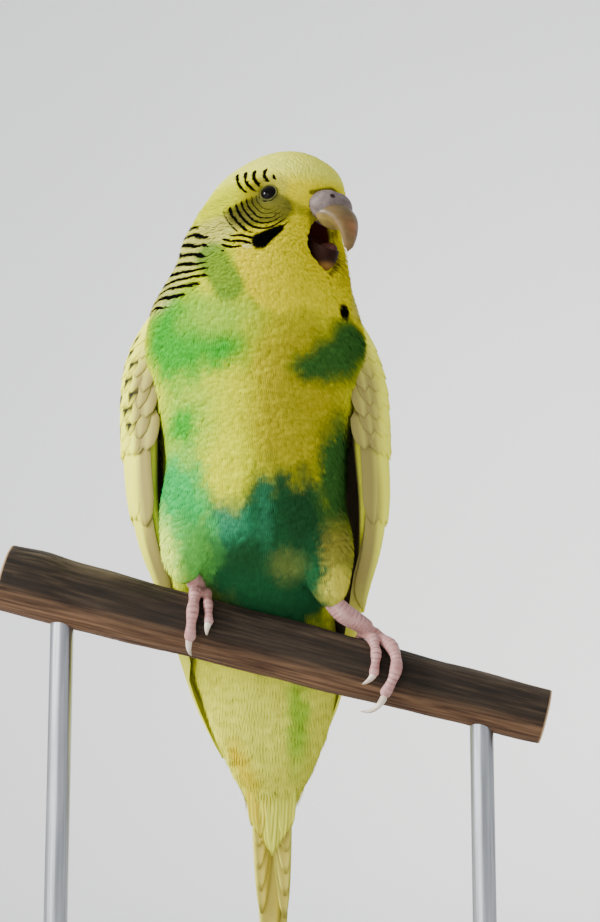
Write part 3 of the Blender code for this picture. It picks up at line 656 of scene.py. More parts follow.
def head_colour(points, colour):
    height = points[..., 2]
    side = np.abs(body_angle(points))
    u, v = card(points)
    mask = ease(-1.2, 1.2, v - np.interp(u, *MASK_EDGE)) * ease(1.5, 1.2, side) * ease(-8.6, -6.4, u)
    colour = blend_in(colour, mask, GOLD)
    # Painted highlight: the crown is paled towards straw, lighter on top as light falls from above
    colour = blend_in(colour, ease(182.5, 187.0, height + 1.2 * np.cos(side)), STRAW)
    near = ease(2.2, 1.9, side) * ease(150.0, 154.0, height)
    back = ease(0.9, 1.2, side) * inside(155.0, 176.0, height, 2.0)
    colour = blend_in(colour, 0.6 * back, tint(222, 216, 136))
    colour = face_mark(colour, near, u, v, NECK_GREEN)
    cheek = ease(1.35, 0.8, streak(u, v, (-6.0, -4.2), (1.9, -3.6), 3.5, 3.1))
    cheek = cheek * ease(0.9, -0.9, above_brow(u, v))
    colour = blend_in(colour, near * 0.92 * cheek, OLIVE)
    for mark in FACE_MARKS:
        colour = face_mark(colour, near, u, v, mark)
    spot = np.sqrt((((points - THROAT_SPOT) / (1.3, 3.0, 1.9)) ** 2).sum(-1))
    return blend_in(colour, ease(1.2, 0.85, spot), INK)


# Distances from the eye against the count of bars there, and heights against the nape bars' front edge
ARC_COUNT = ((2.6, 5.0, 7.4, 9.2, 12.4), (0.0, 2.3, 4.3, 5.6, 7.6))
EYE_BAR_COUNT = ((1.2, 2.85, 4.83, 7.24, 9.2, 10.97, 13.0), (-1.0, 0.0, 1.0, 2.0, 3.0, 4.0, 5.0))
NAPE_EDGE = (
    (156.0, 158.0, 160.0, 163.0, 166.0, 170.0, 174.0, 178.0),
    (54.0, 46.0, 42.0, 51.0, 64.0, 78.0, 96.0, 125.0),
)
ARC_MIDDLE = (0.7, -0.5)


# Bars are drawn by the shader from two values per point: a phase that counts bars, and their thickness
def bars(points):
    height = points[..., 2]
    side = np.abs(body_angle(points))
    u, v = card(points)
    phase = np.zeros(height.shape)
    thick = np.zeros(height.shape)

    def lay(count, width):
        nonlocal phase, thick
        better = width > thick
        phase = np.where(better, count, phase)
        thick = np.where(better, width, thick)

    face = ease(2.1, 1.9, side)
    du, dv = u - ARC_MIDDLE[0], v - ARC_MIDDLE[1]
    reach = np.hypot(du, dv)
    turn = np.degrees(np.arctan2(-dv, -du))
    arcs = np.interp(reach * between(1.0, 1.45, ease(60.0, 135.0, turn)), *ARC_COUNT)
    zone = inside(3.0, 11.5, reach, 0.4) * ease(-16.0, -4.0, turn) * ease(135.0, 105.0, turn)
    near_cheek = ease(1.3, 1.05, streak(u, v, (-6.3, -3.6), (1.6, -3.6), 4.6, 4.2))
    zone *= near_cheek * ease(0.5, -0.3, above_brow(u, v))
    width = between(0.26, 0.56, ease(3.4, 7.6, reach))
    lay(arcs + 0.04 * np.sin(turn * 0.2), face * zone * width * between(1.0, 0.8, ease(80.0, 140.0, turn)))
    reach = np.hypot(u - 3.73, 1.6 * (v - 4.2))
    count = np.interp(reach, *EYE_BAR_COUNT)
    zone = inside(0.2, 5.4, v - 0.10 * (u + 4.0), 0.4) * ease(1.8, 1.2, u)
    zone = zone * ease(11.9, 11.3, reach) * ease(2.3, 2.9, np.hypot(u, v))
    zone *= between(0.85, 1.0, ease(-0.6, 0.6, np.sin(2.3 * v + count)))
    zone *= np.where(u > -0.2, inside(1.9, 4.2, v, 0.4), 1.0)
    lay(count, face * zone * 0.60 * ease(1.9, 2.3, reach))
    zone = inside(-10.4, -3.4, u, 0.6) * inside(-12.6, -9.3, v - 0.25 * (u + 7.0), 0.35)
    lay((v + 0.16 * u + 0.15 * np.sin(1.3 * u)) / 1.35, face * zone * 0.62)
    nape = height + 4.5 * np.cos(side) * ease(158.0, 172.0, height) + 1.4 * np.cos(side)
    nape = nape + 0.22 * np.sin(6.0 * side + 0.5 * height) + 0.12 * np.sin(13.0 * side)
    edge = np.radians(np.interp(height, *NAPE_EDGE))
    edge = edge + 0.7 * (body_angle(points) < 0.0)
    low = between(155.2, 145.0, ease(1.9, 2.5, side))
    zone = ease(edge - 0.05, edge + 0.08, side) * inside(low, 178.0, height, 1.0)
    lay(nape / 1.95, zone * 0.58 * between(0.55, 1.0, ease(145.0, 157.0, height)))
    return phase, thick

# %% [markdown]
# ## The skin
#
# Under the coat there is one skin with no seam. It starts as a sphere whose points are placed on the
# body's slices, with balls along each thigh. A voxel remesh fuses them, and the result is slid onto the
# body function, a feather's depth inside it. Boolean cuts then open the eye sockets and the mouth.

# %% One skin under the coat
# columns: height, depth of the coat there
COAT_DEPTH = ((52.0, 1.3), (84.0, 1.3), (100.0, 1.2), (150.0, 1.1), (160.0, 0.95), (170.0, 0.75), (196.0, 0.6))


def coat_depth(points):
    depth = read_table(COAT_DEPTH, points[..., 2])[..., 0]
    for centre in EYES.values():
        depth = depth * between(0.45, 1.0, ease(2.5, 6.5, apart(points, centre)))
    away = outside_ellipsoid(points, CERE, CERE_RADII)
    return depth * between(0.4, 1.0, ease(1.0, 1.8, away))


# The feathers stand a little fuller in some places and lie flatter in others
def fullness(points):
    height, angle = points[..., 2], body_angle(points)
    side = np.abs(angle)

    def swell(most, where, spread, around, span):
        return most * np.exp(-(((height - where) / spread) ** 2) - ((angle - around) / span) ** 2)

    nape = (1.5 * bell(height, 176.0, 5.5) + 1.3 * bell(height, 181.5, 3.0)) * ease(0.95, 1.4, side)
    shoulder = 1.7 * bell(height, 147.0, 7.0) * bell(side, 1.3, 0.32)
    leg = 1.6 * bell(height, 97.0, 5.0) * ease(-14.0, -18.0, points[..., 0])
    chin = swell(1.5, 163.5, 4.0, -0.6, 0.4) + swell(1.6, 169.5, 4.5, -0.78, 0.30)
    flank = swell(1.2, 112.0, 12.0, -1.3, 0.4)
    flank = flank + swell(1.5, 78.0, 9.0, 1.45, 0.45) + swell(1.3, 76.0, 9.0, -1.45, 0.45)
    tail = 1.3 * ease(74.0, 64.0, height) - 2.4 * ease(58.0, 46.0, height)
    crown = -0.8 * ease(186.0, 192.0, height)
    return nape + shoulder + leg + chin + flank + tail + crown


def make_trunk():
    item, unit = unit_ball("trunk", 96, 120)
    height = between(SLICES[0, 0] + 1.0, CROWN, (unit[:, 2] + 1.0) / 2.0)
    (middle_x, middle_y, half, front, back, turn), rise = slice_at(height)
    rise = np.clip(rise, 0.0, 1.0)
    shrink = np.sqrt(1.0 - rise**2) * np.sqrt(np.clip((unit[:, 2] + 1.0) * 12.0, 0.0, 1.0))
    round_it = np.arctan2(unit[:, 0], -unit[:, 1])
    turn = np.radians(turn)
    ahead = np.where(np.cos(round_it) > 0, front, back) * np.cos(round_it) * shrink
    aside = half * np.sin(round_it) * shrink
    x = middle_x + HEAD_LEAN * rise**2 + ahead * np.sin(turn) - aside * np.cos(turn)
    y = middle_y - HEAD_LEAN * rise**2 - ahead * np.cos(turn) - aside * np.sin(turn)
    write_points(item, np.stack([x, y, height], -1))
    return item


lumps = [make_trunk()]
for path in THIGHS:
    lumps += ball_chain(smooth_path(path, 10), 20, 12)
skin = join("skin", lumps)
apply_modifier(skin, "REMESH", mode="VOXEL", voxel_size=0.75 * MM)
points = read_points(skin)
laid, outward = lay_on_body(points, 0.0, 3)
full = fullness(laid)
rise = np.where(full < 0.0, full, np.minimum(0.6 * full, 0.5 * coat_depth(laid)))
laid -= outward * (coat_depth(laid) + 0.15 - rise)[:, None]
write_points(skin, laid)
apply_modifier(skin, "SMOOTH", factor=0.5, iterations=2)

# Roots of the coat are drawn before the openings are cut, from the skin's own faces
root_mesh = skin.data.copy()

openings = [ball(EYES[side], [EYE_RADIUS + 0.15] * 3) for side in (1, -1)]
openings.append(ball(MOUTH, MOUTH_RADII, TURN_HEAD))
cut(skin, openings)
points = read_points(skin)
# The skin carries the coat's markings, a fifth darker as painted shade under the feathers
colour = body_colour(points) * 0.8
# Inside the mouth the skin is painted near-black red-brown: its lining's own red, darkened as painted shade
in_mouth = (outside_ellipsoid(points, MOUTH, MOUTH_RADII) < 1.03) & (outside_body(points) < -1.3)
colour[in_mouth] = MAROON
paint_points(skin.data, colour)
for key, value in zip(("BarPhase", "BarThick"), bars(points)):
    write_values(skin.data, key, value)
soften(skin)
print("skin points:", len(points))

# %% [markdown]
# ## The coat
#
# A budgerigar's body feathers are small, soft and lapped like tiles. Each one here is a flat vane of
# thirteen triangles whose end splits into tines, as real barbs part at the edge. Roots are spread over
# the skin at an even spacing, the vane follows the lie of the coat, and its points are laid on the body
# function so that the coat stays smooth. They are built from arrays, since there are many thousands.

# %% Spread roots evenly over the skin
def spread_roots(mesh, count, keep, spacing):
    mesh.calc_loop_triangles()
    corners = np.empty(len(mesh.loop_triangles) * 3, np.int32)
    mesh.loop_triangles.foreach_get("vertices", corners)
    a, b, c = np.moveaxis(mesh_points(mesh)[corners.reshape(-1, 3)], 1, 0)
    middle = (a + b + c) / 3.0
    area = np.linalg.norm(np.cross(b - a, c - a), axis=1)
    area = np.where(keep(middle), area / spacing(middle) ** 2, 0.0)
    chosen = draw.choice(len(area), count, p=area / area.sum())
    u, v = draw.random((2, count))
    fold = u + v > 1.0
    u, v = np.where(fold, 1.0 - u, u)[:, None], np.where(fold, 1.0 - v, v)[:, None]
    spots = a[chosen] + (b - a)[chosen] * u + (c - a)[chosen] * v
    reach = spacing(spots)
    tree = kdtree.KDTree(count)
    for index, spot in enumerate(spots):
        tree.insert(spot, index)
    tree.balance()
    taken = np.zeros(count, bool)
    kept = []
    for index, spot in enumerate(spots):
        if taken[index]:
            continue
        kept.append(index)
        for _, other, _ in tree.find_range(spot, reach[index]):
            taken[other] = True
    return spots[kept]


# One small vane: how far along, how far across, and its triangles
VANE = np.array([(0.0, -0.35), (0.0, 0.35), (0.36, -0.9), (0.36, 0.0), (0.36, 0.9),
                 (0.7, -1.0), (0.7, -0.5), (0.7, 0.0), (0.7, 0.5), (0.7, 1.0),
                 (0.9, -0.85), (1.0, -0.3), (0.96, 0.25), (0.9, 0.8)])
VANE_FACES = np.array([(0, 3, 2), (0, 1, 3), (1, 4, 3), (2, 6, 5), (2, 3, 6), (3, 7, 6), (3, 8, 7),
                       (3, 4, 8), (4, 9, 8), (5, 6, 10), (6, 7, 11), (7, 8, 12), (8, 9, 13)])


PATCH_SIZE = 0.003


def lie_of_coat(points, outward):
    bill = np.array(head_place(9.0, 0.0, 177.0))
    away = unit_rows(points - bill)
    down = np.zeros(points.shape) + (0.0, 0.15, -1.0)
    down[:, 0] = 0.01 * points[:, 0]
    share = ease(158.0, 178.0, points[:, 2])
    backwards = np.clip(-(away * np.array([sin(HEAD_TURN), -cos(HEAD_TURN), 0.0])).sum(1), 0.0, 1.0)
    away[:, 2] -= 0.9 * backwards * ease(4.0, 22.0, np.linalg.norm(points - bill, axis=1))
    lie = down + (away - down) * share[:, None]
    lie -= outward * (lie * outward).sum(1)[:, None]
    return unit_rows(lie)


# Places on a flat unwrap of the skin: the head seen from above, or the trunk unrolled
def patch_places(roots, centre_height):
    angle = body_angle(roots)
    if centre_height > 160.0:
        reach = 0.45 * np.clip((CROWN + 1.0 - roots[:, 2]) / 48.0, 0.0, 1.0) ** 0.8
        home = np.stack([0.5 + reach * np.sin(angle), 0.5 + reach * np.cos(angle)], -1)
    else:
        home = np.stack([0.5 + 0.47 * angle / pi, np.clip((roots[:, 2] - 50.0) / 120.0, 0.01, 0.99)], -1)
    spread = np.stack([VANE[:, 1] * PATCH_SIZE / 2.0, (VANE[:, 0] - 0.5) * PATCH_SIZE], -1)
    return (home[:, None, :] + spread[None]).reshape(-1, 2)


def grow_coat(name, roots, length, half):
    count = len(roots)
    roots, outward = lay_on_body(roots, 0.0, 2)
    lie = lie_of_coat(roots, outward)
    sway = draw.normal(0.0, 0.09, count)[:, None]
    across = np.cross(lie, outward)
    lie = lie + across * sway
    across = np.cross(lie, outward)
    size = length(roots) * draw.uniform(0.85, 1.15, count)
    width = half(roots) * draw.uniform(0.9, 1.1, count)
    depth = coat_depth(roots)
    along, aside = VANE[:, 0], VANE[:, 1]
    points = roots[:, None] + lie[:, None] * (along[None] * size[:, None])[..., None]
    points = points + across[:, None] * (aside[None] * width[:, None])[..., None]
    under = depth[:, None] * (1.0 - along[None]) ** 1.3 + 0.10 * np.abs(aside[None])
    full = fullness(points)
    full = np.where(full > 0.0, full * along[None] ** 0.5, full)
    under = under + draw.uniform(0.0, 0.16, count)[:, None] - full
    flat, _ = lay_on_body(points.reshape(-1, 3), 0.0, 1)
    normal = np.repeat(outward, len(VANE), axis=0)
    flat -= normal * under.reshape(-1, 1)
    shift = np.repeat(draw.normal(0.0, 0.45, (count, 3)), len(VANE), axis=0)
    colour = body_colour(flat + shift * ease(150.0, 140.0, flat[:, 2])[:, None])
    phase, thick = bars(flat)
    phase = phase + np.repeat(draw.normal(0.0, 0.045, count), len(VANE))
    tone = 1.0 + draw.normal(0.0, 0.05, count)
    tone = (tone[:, None] * (0.86 + 0.14 * along[None])).reshape(-1, 1)
    faces = (VANE_FACES[None] + (np.arange(count) * len(VANE))[:, None, None]).reshape(-1, 3)
    patches = patch_places(roots, float(roots[:, 2].mean()))
    marks = {"BarPhase": phase, "BarThick": thick}
    piece = mesh_from_arrays(name, flat, faces, np.clip(colour * tone, 0.0, 1.0), patches, marks)
    slot = {"coat_head": "plumage_head", "coat_neck": "plumage_neck"}.get(name, "plumage_body")
    return dress(piece, plumage, slot)

# %% Body feathers, region by region
# columns: height, spacing, length, half width
COAT_SIZES = (
    (52.0, 0.9, 12.0, 1.0),
    (76.0, 1.0, 8.0, 1.35),
    (92.0, 0.72, 4.9, 0.95),
    (104.0, 0.60, 3.9, 0.74),
    (150.0, 0.58, 3.5, 0.70),
    (160.0, 0.48, 2.6, 0.54),
    (170.0, 0.42, 2.05, 0.42),
    (196.0, 0.40, 1.85, 0.40),
)


def near_face(points):
    fit = np.ones(len(points))
    for centre in EYES.values():
        fit = np.minimum(fit, between(0.42, 1.0, ease(2.6, 6.0, apart(points, centre))))
    away = outside_ellipsoid(points, CERE, CERE_RADII)
    return np.minimum(fit, between(0.5, 1.0, ease(1.0, 1.9, away)))


def size_column(column):
    return lambda points: read_table(COAT_SIZES, points[:, 2])[:, column] * near_face(points)


def bare(points):
    hidden = np.zeros(len(points), bool)
    for centre, radii, edge in ((MOUTH, MOUTH_RADII, 1.0), (SCOOP, SCOOP_RADII, 1.06), (CERE, CERE_RADII, 0.9)):
        hidden |= outside_ellipsoid(points, centre, radii) < edge
    for centre in EYES.values():
        hidden |= apart(points, centre) < BARE_RADIUS
    return hidden


# name: lowest and highest root, and how many roots are tried
REGIONS = {
    "coat_head": (165.0, 200.0, 110000),
    "coat_neck": (148.0, 165.0, 80000),
    "coat_breast": (122.0, 148.0, 80000),
    "coat_belly": (95.0, 122.0, 80000),
    "coat_vent": (59.5, 95.0, 30000),
}
for name, (low, high, tries) in REGIONS.items():
    def keep(points, low=low, high=high):
        return (points[:, 2] >= low) & (points[:, 2] < high) & ~bare(points)
    roots = spread_roots(root_mesh, tries, keep, size_column(0))
    grow_coat(name, roots, size_column(1), size_column(2))
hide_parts("head", "neck", "torso", "thigh_left", "thigh_right")
dress(skin, plumage, "plumage_body")

# %% [markdown]
# ## The folded wings
#
# A folded wing is tiers of stiff feathers that lap like roof tiles: primaries and secondaries at the
# bottom, then greater, median and lesser coverts, with scapulars over the inner edge. Each feather is a
# thin closed sheet with a raised shaft. It is laid on the wing's own slices, and one edge sits a little
# lower than the other, so that its neighbour covers it.

# %% The wing's slices and one thin feather
# columns: height, middle x, half width, middle y, front depth, back depth
WING_SLICES = (
    (54.0, 1.0, 8.0, 27.0, 3.0, 4.0),
    (62.0, 1.0, 12.2, 23.5, 5.0, 7.0),
    (72.0, 0.9, 17.2, 18.5, 6.5, 10.5),
    (84.0, 0.5, 21.0, 13.0, 8.0, 14.5),
    (96.0, 0.1, 24.4, 8.0, 10.0, 18.5),
    (105.0, -0.4, 27.7, 4.0, 11.0, 21.5),
    (115.0, -0.8, 29.8, 1.0, 12.0, 23.5),
    (126.0, -1.4, 30.4, -1.0, 12.0, 24.0),
    (140.0, -1.8, 30.2, -2.5, 12.0, 23.5),
    (148.0, -2.1, 28.4, -3.0, 11.0, 22.0),
    (154.0, -2.1, 25.8, -3.4, 10.5, 20.8),
    (161.0, -2.0, 22.0, -4.0, 10.0, 19.4),
)
# columns: height, front angle, back angle, outer lift, inner lift
WING_CORE = (
    (84.0, 84.0, 158.0, -2.8, -3.4),
    (100.0, 70.0, 158.0, -2.7, -4.2),
    (112.0, 61.0, 160.0, -2.5, -4.8),
    (126.0, 56.0, 158.0, -2.2, -5.2),
    (138.0, 55.0, 152.0, -1.9, -5.6),
    (146.0, 58.0, 146.0, -1.5, -5.6),
    (152.0, 64.0, 140.0, -1.2, -5.0),
    (157.0, 76.0, 128.0, -1.2, -4.2),
    (160.0, 90.0, 112.0, -2.2, -3.6),
)


def wing_reach(height, angle):
    rows = read_table(WING_SLICES, height)
    depth = np.where(np.cos(angle) > 0, rows[..., 3], rows[..., 4])
    return rows, depth, np.sqrt((rows[..., 1] * np.cos(angle)) ** 2 + (depth * np.sin(angle)) ** 2)


def wing_place(side, height, angle, lift):
    rows, depth, _ = wing_reach(height, angle)
    x = rows[..., 0] + side * (rows[..., 1] + lift) * np.sin(angle)
    y = rows[..., 2] - (depth + lift) * np.cos(angle)
    return np.stack([x, y, height], -1)


# Rows and columns of a closed thin sheet: its upper face, its lower face and the rim between them
def sheet_faces(rows, columns):
    faces = []
    under = rows * columns
    for i in range(rows - 1):
        for j in range(columns - 1):
            a = i * columns + j
            b, c, d = a + 1, a + columns + 1, a + columns
            faces += [(a, b, c), (a, c, d)]
            faces += [(a + under, c + under, b + under), (a + under, d + under, c + under)]
    rim = [*range(columns)] + [i * columns + columns - 1 for i in range(1, rows)]
    rim += [(rows - 1) * columns + j for j in range(columns - 2, -1, -1)]
    rim += [i * columns for i in range(rows - 2, 0, -1)]
    for a, b in zip(rim, rim[1:] + rim[:1]):
        faces += [(b, a, a + under), (b, a + under, b + under)]
    return np.array(faces)


def make_grid(rows, columns):
    t = np.repeat(np.linspace(0.0, 1.0, rows)[:, None] ** 0.9, columns, axis=1)
    s = np.repeat(np.linspace(-1.0, 1.0, columns)[None], rows, axis=0)
    return t, s, sheet_faces(rows, columns)


VANE_THICK = 0.09
LONG = make_grid(15, 7)
SHORT = make_grid(7, 5)


def outline_of_vane(t, blunt):
    past = np.clip((t - blunt) / (1.0 - blunt), 0.0, 1.0)
    return np.minimum(1.0, 0.45 + 2.4 * t) * np.sqrt(np.clip(1.0 - past**2, 0.012, 1.0))


def wing_feather(side, root, tip, half, lifts, lap, blunt, grid=LONG):
    t, s, _ = grid
    height = between(root[0], tip[0], t)
    angle = np.radians(between(root[1], tip[1], t))
    reach = wing_reach(height, angle)[2]
    arc = radians(tip[1] - root[1]) * float(reach.mean())
    fall = tip[0] - root[0]
    size = sqrt(arc * arc + fall * fall)
    width = half * outline_of_vane(t, blunt) * s
    height_of = height + width * arc / size
    angle_of = angle + width * (-fall / size) / reach
    middle = np.interp(t, (0.0, 0.5, 1.0), lifts)
    lift = middle - lap * width - 0.05 * width**2 / half + 0.06 * bell(s, 0.0, 0.14) * (1.0 - 0.6 * t)
    top = wing_place(side, height_of, angle_of, lift)
    low = wing_place(side, height_of, angle_of, lift - VANE_THICK)
    return np.concatenate([top.reshape(-1, 3), low.reshape(-1, 3)])


class Pile:
    """Feathers gathered into one mesh."""

    def __init__(self):
        self.points, self.faces, self.colours, self.patches, self.barbs = [], [], [], [], []
        self.count = 0

    def add(self, points, colours, home, size, span, flip=False, grid=LONG):
        t, s, sheet = grid
        faces = sheet[:, ::-1] if flip else sheet
        self.points.append(points)
        self.faces.append(faces + self.count)
        self.colours.append(np.concatenate([colours.reshape(-1, 3)] * 2))
        spread = np.stack([s.ravel() * size / 2, (t.ravel() - 0.5) * size], -1) + home
        self.patches.append(np.concatenate([spread, spread + (0.0, size * 0.02)]))
        barb = (t * span[0] - np.abs(s) * span[1]).ravel()
        self.barbs.append(np.concatenate([barb, barb]) + draw.random() * 50.0)
        self.count += len(points)

    def build(self, name):
        layers = (self.points, self.faces, self.colours, self.patches, self.barbs)
        points, faces, colours, patches, barbs = [np.concatenate(rows) for rows in layers]
        return mesh_from_arrays(name, points, faces, np.clip(colours, 0.0, 1.0), patches, {"Barb": barbs})


# Fine barbs run slantwise from the shaft, so the bump follows each feather's own barb value
def barbed_finish(name):
    finish, tree, shader = new_finish(name, 0.62, 0.08)
    barbs = tree.nodes.new("ShaderNodeTexNoise")
    barbs.noise_dimensions = "1D"
    barbs.inputs["Scale"].default_value = 3.2
    barbs.inputs["Detail"].default_value = 3.0
    tree.links.new(attribute_value(tree, "Barb"), barbs.inputs["W"])
    fleck = ramp(tree, barbs.outputs["Fac"], (0.3, (0.93, 0.92, 0.90)), (0.7, WHITE))
    tree.links.new(over_markings(tree, fleck), shader.inputs["Base Color"])
    bump(tree, shader, barbs.outputs["Fac"], 0.15, 0.06)
    return finish


quill_finish = barbed_finish("barbed_vane")
WING_PALE = tint(255, 255, 70)
WING_EDGE = tint(255, 255, 110)
WING_GREY = tint(138, 122, 78)
WING_DUSK = tint(120, 108, 84)
WING_INK = tint(28, 28, 20)
print("one flight feather has", len(LONG[2]), "triangles, one covert", len(SHORT[2]))

# %% Tiers of one wing
# name: count, half width, lifts, blunt end, first root, first tip, last root, last tip
TIERS = {
    "primaries": (9, 3.6, (-1.7, -1.1, -0.8), 0.80,
                  (113.0, 64.0), (60.0, 106.0), (109.0, 122.0), (79.0, 160.0)),
    "secondaries": (9, 3.6, (-1.4, -0.9, -0.62), 0.80,
                    (124.0, 66.0), (92.0, 78.0), (124.0, 146.0), (90.0, 166.0)),
    "greater_coverts": (9, 3.4, (-1.1, -0.68, -0.44), 0.72,
                        (137.0, 62.0), (110.0, 63.0), (137.0, 142.0), (113.0, 158.0)),
    "median_coverts": (9, 3.2, (-0.9, -0.48, -0.26), 0.62,
                       (148.0, 64.0), (125.0, 60.0), (148.0, 136.0), (127.0, 152.0)),
}
# half width and length of a scapular, and half width of a lesser covert
SCAPULAR = (3.4, 17.0)
LESSER_HALF = 2.5


def wing_colour(side, name, points, grid=LONG):
    t, s, _ = grid
    top = points[: len(points) // 2].reshape(*t.shape, 3)
    colour = np.zeros(top.shape) + WING_PALE
    edge = ease(0.55, 1.0, np.abs(s))
    colour = blend_in(colour, 0.5 * edge, WING_EDGE)
    rows = read_table(WING_SLICES, top[..., 2])
    sideways = side * (top[..., 0] - rows[..., 0]) / rows[..., 1]
    turned = np.degrees(np.arctan2(sideways, (rows[..., 2] - top[..., 1]) / rows[..., 3]))
    rim = np.interp(top[..., 2], (84.0, 100.0, 112.0, 126.0, 150.0), (86.0, 76.0, 68.0, 64.0, 66.0))
    # The grey strip is the wing's own dusky underside; it is drawn wider on the bird's left wing, away from the
    # key lamp, as painted shade
    wide = 1.0 if side < 0 else 8.0
    inner = ease(rim + wide, rim - 4.0, turned) * ease(80.0, 100.0, top[..., 2])
    inner = inner * ease(156.0, 140.0, top[..., 2])
    colour = blend_in(colour, 0.9 * inner, WING_GREY)
    # Flight feathers grey towards one edge with their own grey inner web; the larger share on the bird's left
    # wing is painted shade
    if name in ("primaries", "secondaries"):
        colour = blend_in(colour, (0.15 if side < 0 else 0.35) * ease(0.0, 0.8, s), WING_GREY)
    return blend_in(colour, 0.25 * bell(s, 0.0, 0.12), WING_EDGE)


# A dark crescent near a covert's tip
def scallop(colour, grid):
    t, s, _ = grid
    band = ease(0.60, 0.68, t + 0.10 * s**2) * ease(0.90, 0.84, t + 0.16 * s**2)
    return blend_in(colour, band, WING_INK)


def wing_home(height, angle):
    return np.array([0.06 + 0.88 * (angle - 40.0) / 140.0, 0.05 + 0.9 * (height - 55.0) / 110.0])


def build_wing(side, name):
    pile = Pile()

    def grow(tier, root, tip, half, lifts, lap, blunt, length, marked=False, grid=LONG, size=0.02, home=None):
        points = wing_feather(side, root, tip, half, lifts, lap, blunt, grid)
        colour = wing_colour(side, tier, points, grid) * draw.uniform(0.94, 1.03)
        if marked:
            colour = scallop(colour, grid)
        home = wing_home(*root) if home is None else home
        pile.add(points, colour, home, size, (length, half), side > 0, grid)

    for tier, (count, half, lifts, blunt, root_a, tip_a, root_b, tip_b) in TIERS.items():
        for i in range(count):
            share = i / (count - 1)
            fall = share**1.5 if tier == "primaries" else share
            root = (between(root_a[0], root_b[0], share), between(root_a[1], root_b[1], share))
            tip_height = between(tip_a[0], tip_b[0], fall) + draw.normal(0.0, 0.5)
            tip = (tip_height, between(tip_a[1], tip_b[1], share))
            marked = tier == "median_coverts" and side < 0 and root[1] < 110.0 and i % 2 == 0
            grow(tier, root, tip, half, lifts, 0.034, blunt, root[0] - tip[0], marked)
    for row, height in enumerate(np.arange(131.0, 158.0, 3.4)):
        first, last = read_table(WING_CORE, height)[:2]
        count = int(11 - abs(row - 3) * 0.5)
        for i in range(count):
            angle = between(first - 4.0, last + 3.0, (i + 0.5 * (row % 2)) / (count - 0.5))
            length = draw.uniform(8.0, 9.5)
            root = (height + 3.0 + draw.normal(0.0, 0.3), angle + draw.normal(0.0, 0.8))
            tip = (height + 3.0 - length, between(angle, 70.0 if angle < 90.0 else 140.0, 0.08))
            marked = height > 134.0 and (side < 0 or angle > 100.0) and angle > 66.0 and (i + row) % 2 == 0
            lifts = (-0.9, -0.36, -0.06)
            grow("lesser", root, tip, LESSER_HALF, lifts, 0.03, 0.5, length, marked, SHORT, 0.012)
    half, length = SCAPULAR
    for row in range(4):
        for i in range(3):
            root = (157.0 - 5.5 * row + 0.8 * i, 122.0 + 11.0 * i + 2.0 * row)
            tip = (root[0] - length, root[1] + 6.0)
            lifts = (-1.2, 0.1 + 0.1 * i, 0.7 + 0.1 * i)
            home = np.array([0.06 + 0.04 * i, 0.97]) + (0.2 * row, 0.0)
            grow("scapular", root, tip, half, lifts, 0.03, 0.6, length, row < 2, LONG, 0.015, home)
    return pile.build(name)


def build_core(side, name):
    rows, arc = 40, 30
    heights = np.linspace(WING_CORE[0][0], WING_CORE[-1][0], rows)
    front, back, outer, inner = np.moveaxis(read_table(WING_CORE, heights), -1, 0)
    share = np.linspace(0.0, 1.0, arc)[None]
    angle = np.radians(between(front[:, None], back[:, None], share))
    swell = 1.0 - 0.6 * np.abs(2.0 * share - 1.0) ** 4
    middle = ((outer + inner) / 2.0)[:, None]
    tall = np.repeat(heights[:, None], arc, axis=1)
    out = wing_place(side, tall, angle, between(middle, outer[:, None], swell))
    into = wing_place(side, tall, angle, between(middle, inner[:, None], swell))
    ring = np.concatenate([out, into[:, ::-1]], axis=1)
    count = ring.shape[1]
    points = np.concatenate([ring.reshape(-1, 3), [ring[0].mean(0), ring[-1].mean(0)]])
    faces = []
    for i in range(rows - 1):
        for j in range(count):
            a, b = i * count + j, i * count + (j + 1) % count
            faces += [(a, b, b + count), (a, b + count, a + count)]
    for j in range(count):
        faces.append(((j + 1) % count, j, len(points) - 2))
        faces.append(((rows - 1) * count + j, (rows - 1) * count + (j + 1) % count, len(points) - 1))
    faces = np.array(faces)
    dusky = np.zeros(len(points))
    dusky[: rows * count] = np.tile(np.concatenate([np.zeros(arc), np.ones(arc)]), rows)
    colour = blend_in(np.zeros(points.shape) + WING_PALE, dusky, WING_DUSK)
    return mesh_from_arrays(name, points, faces if side < 0 else faces[:, ::-1], colour)


for side, name in ((-1, "wing_right"), (1, "wing_left")):
    dress(build_core(side, name + "_core"), plumage, "plumage_wing")
    dress(build_wing(side, name + "_feathers"), quill_finish, "plumage_wing", name)

# %% [markdown]
# ## The tail
#
# A budgerigar's tail is long and stepped: two long middle feathers, and five shorter ones on each side.
# They lie in a flat stack, the outer ones in front when the tail is seen from below. Long pointed
# coverts in the body's colours run down over their roots, in front and behind.

# %% Tail feathers in a stack
TAIL_ROOT = np.array((1.8, 22.4, 66.0))
TAIL_TIP = np.array((2.4, 41.0, 9.2))
# columns: reach as a share of the tail, sideways at the root, sideways at the tip, half width
TAIL_STEPS = ((1.0, 0.9, 0.8, 3.3), (0.97, -0.9, -0.8, 3.3), (0.72, 1.6, 2.6, 2.6), (0.70, -1.6, -2.6, 2.6),
              (0.63, 1.6, 2.8, 2.6), (0.61, -1.6, -2.8, 2.6), (0.54, 1.6, 3.0, 2.5), (0.52, -1.6, -3.0, 2.5),
              (0.45, 1.6, 3.15, 2.5), (0.43, -1.6, -3.15, 2.5), (0.37, 1.6, 3.3, 2.4), (0.35, -1.6, -3.3, 2.4))
# columns: place in the stack, where the colour is read, reach, and which coverts are golden
TAIL_COVERTS = ((3.7, -2.0, 0.46, (2, 3)), (-0.4, 3.0, 0.40, ()))
COVERT_HALF = 1.7
TAIL_PALE = tint(226, 208, 92)
TAIL_GOLD = tint(214, 184, 44)


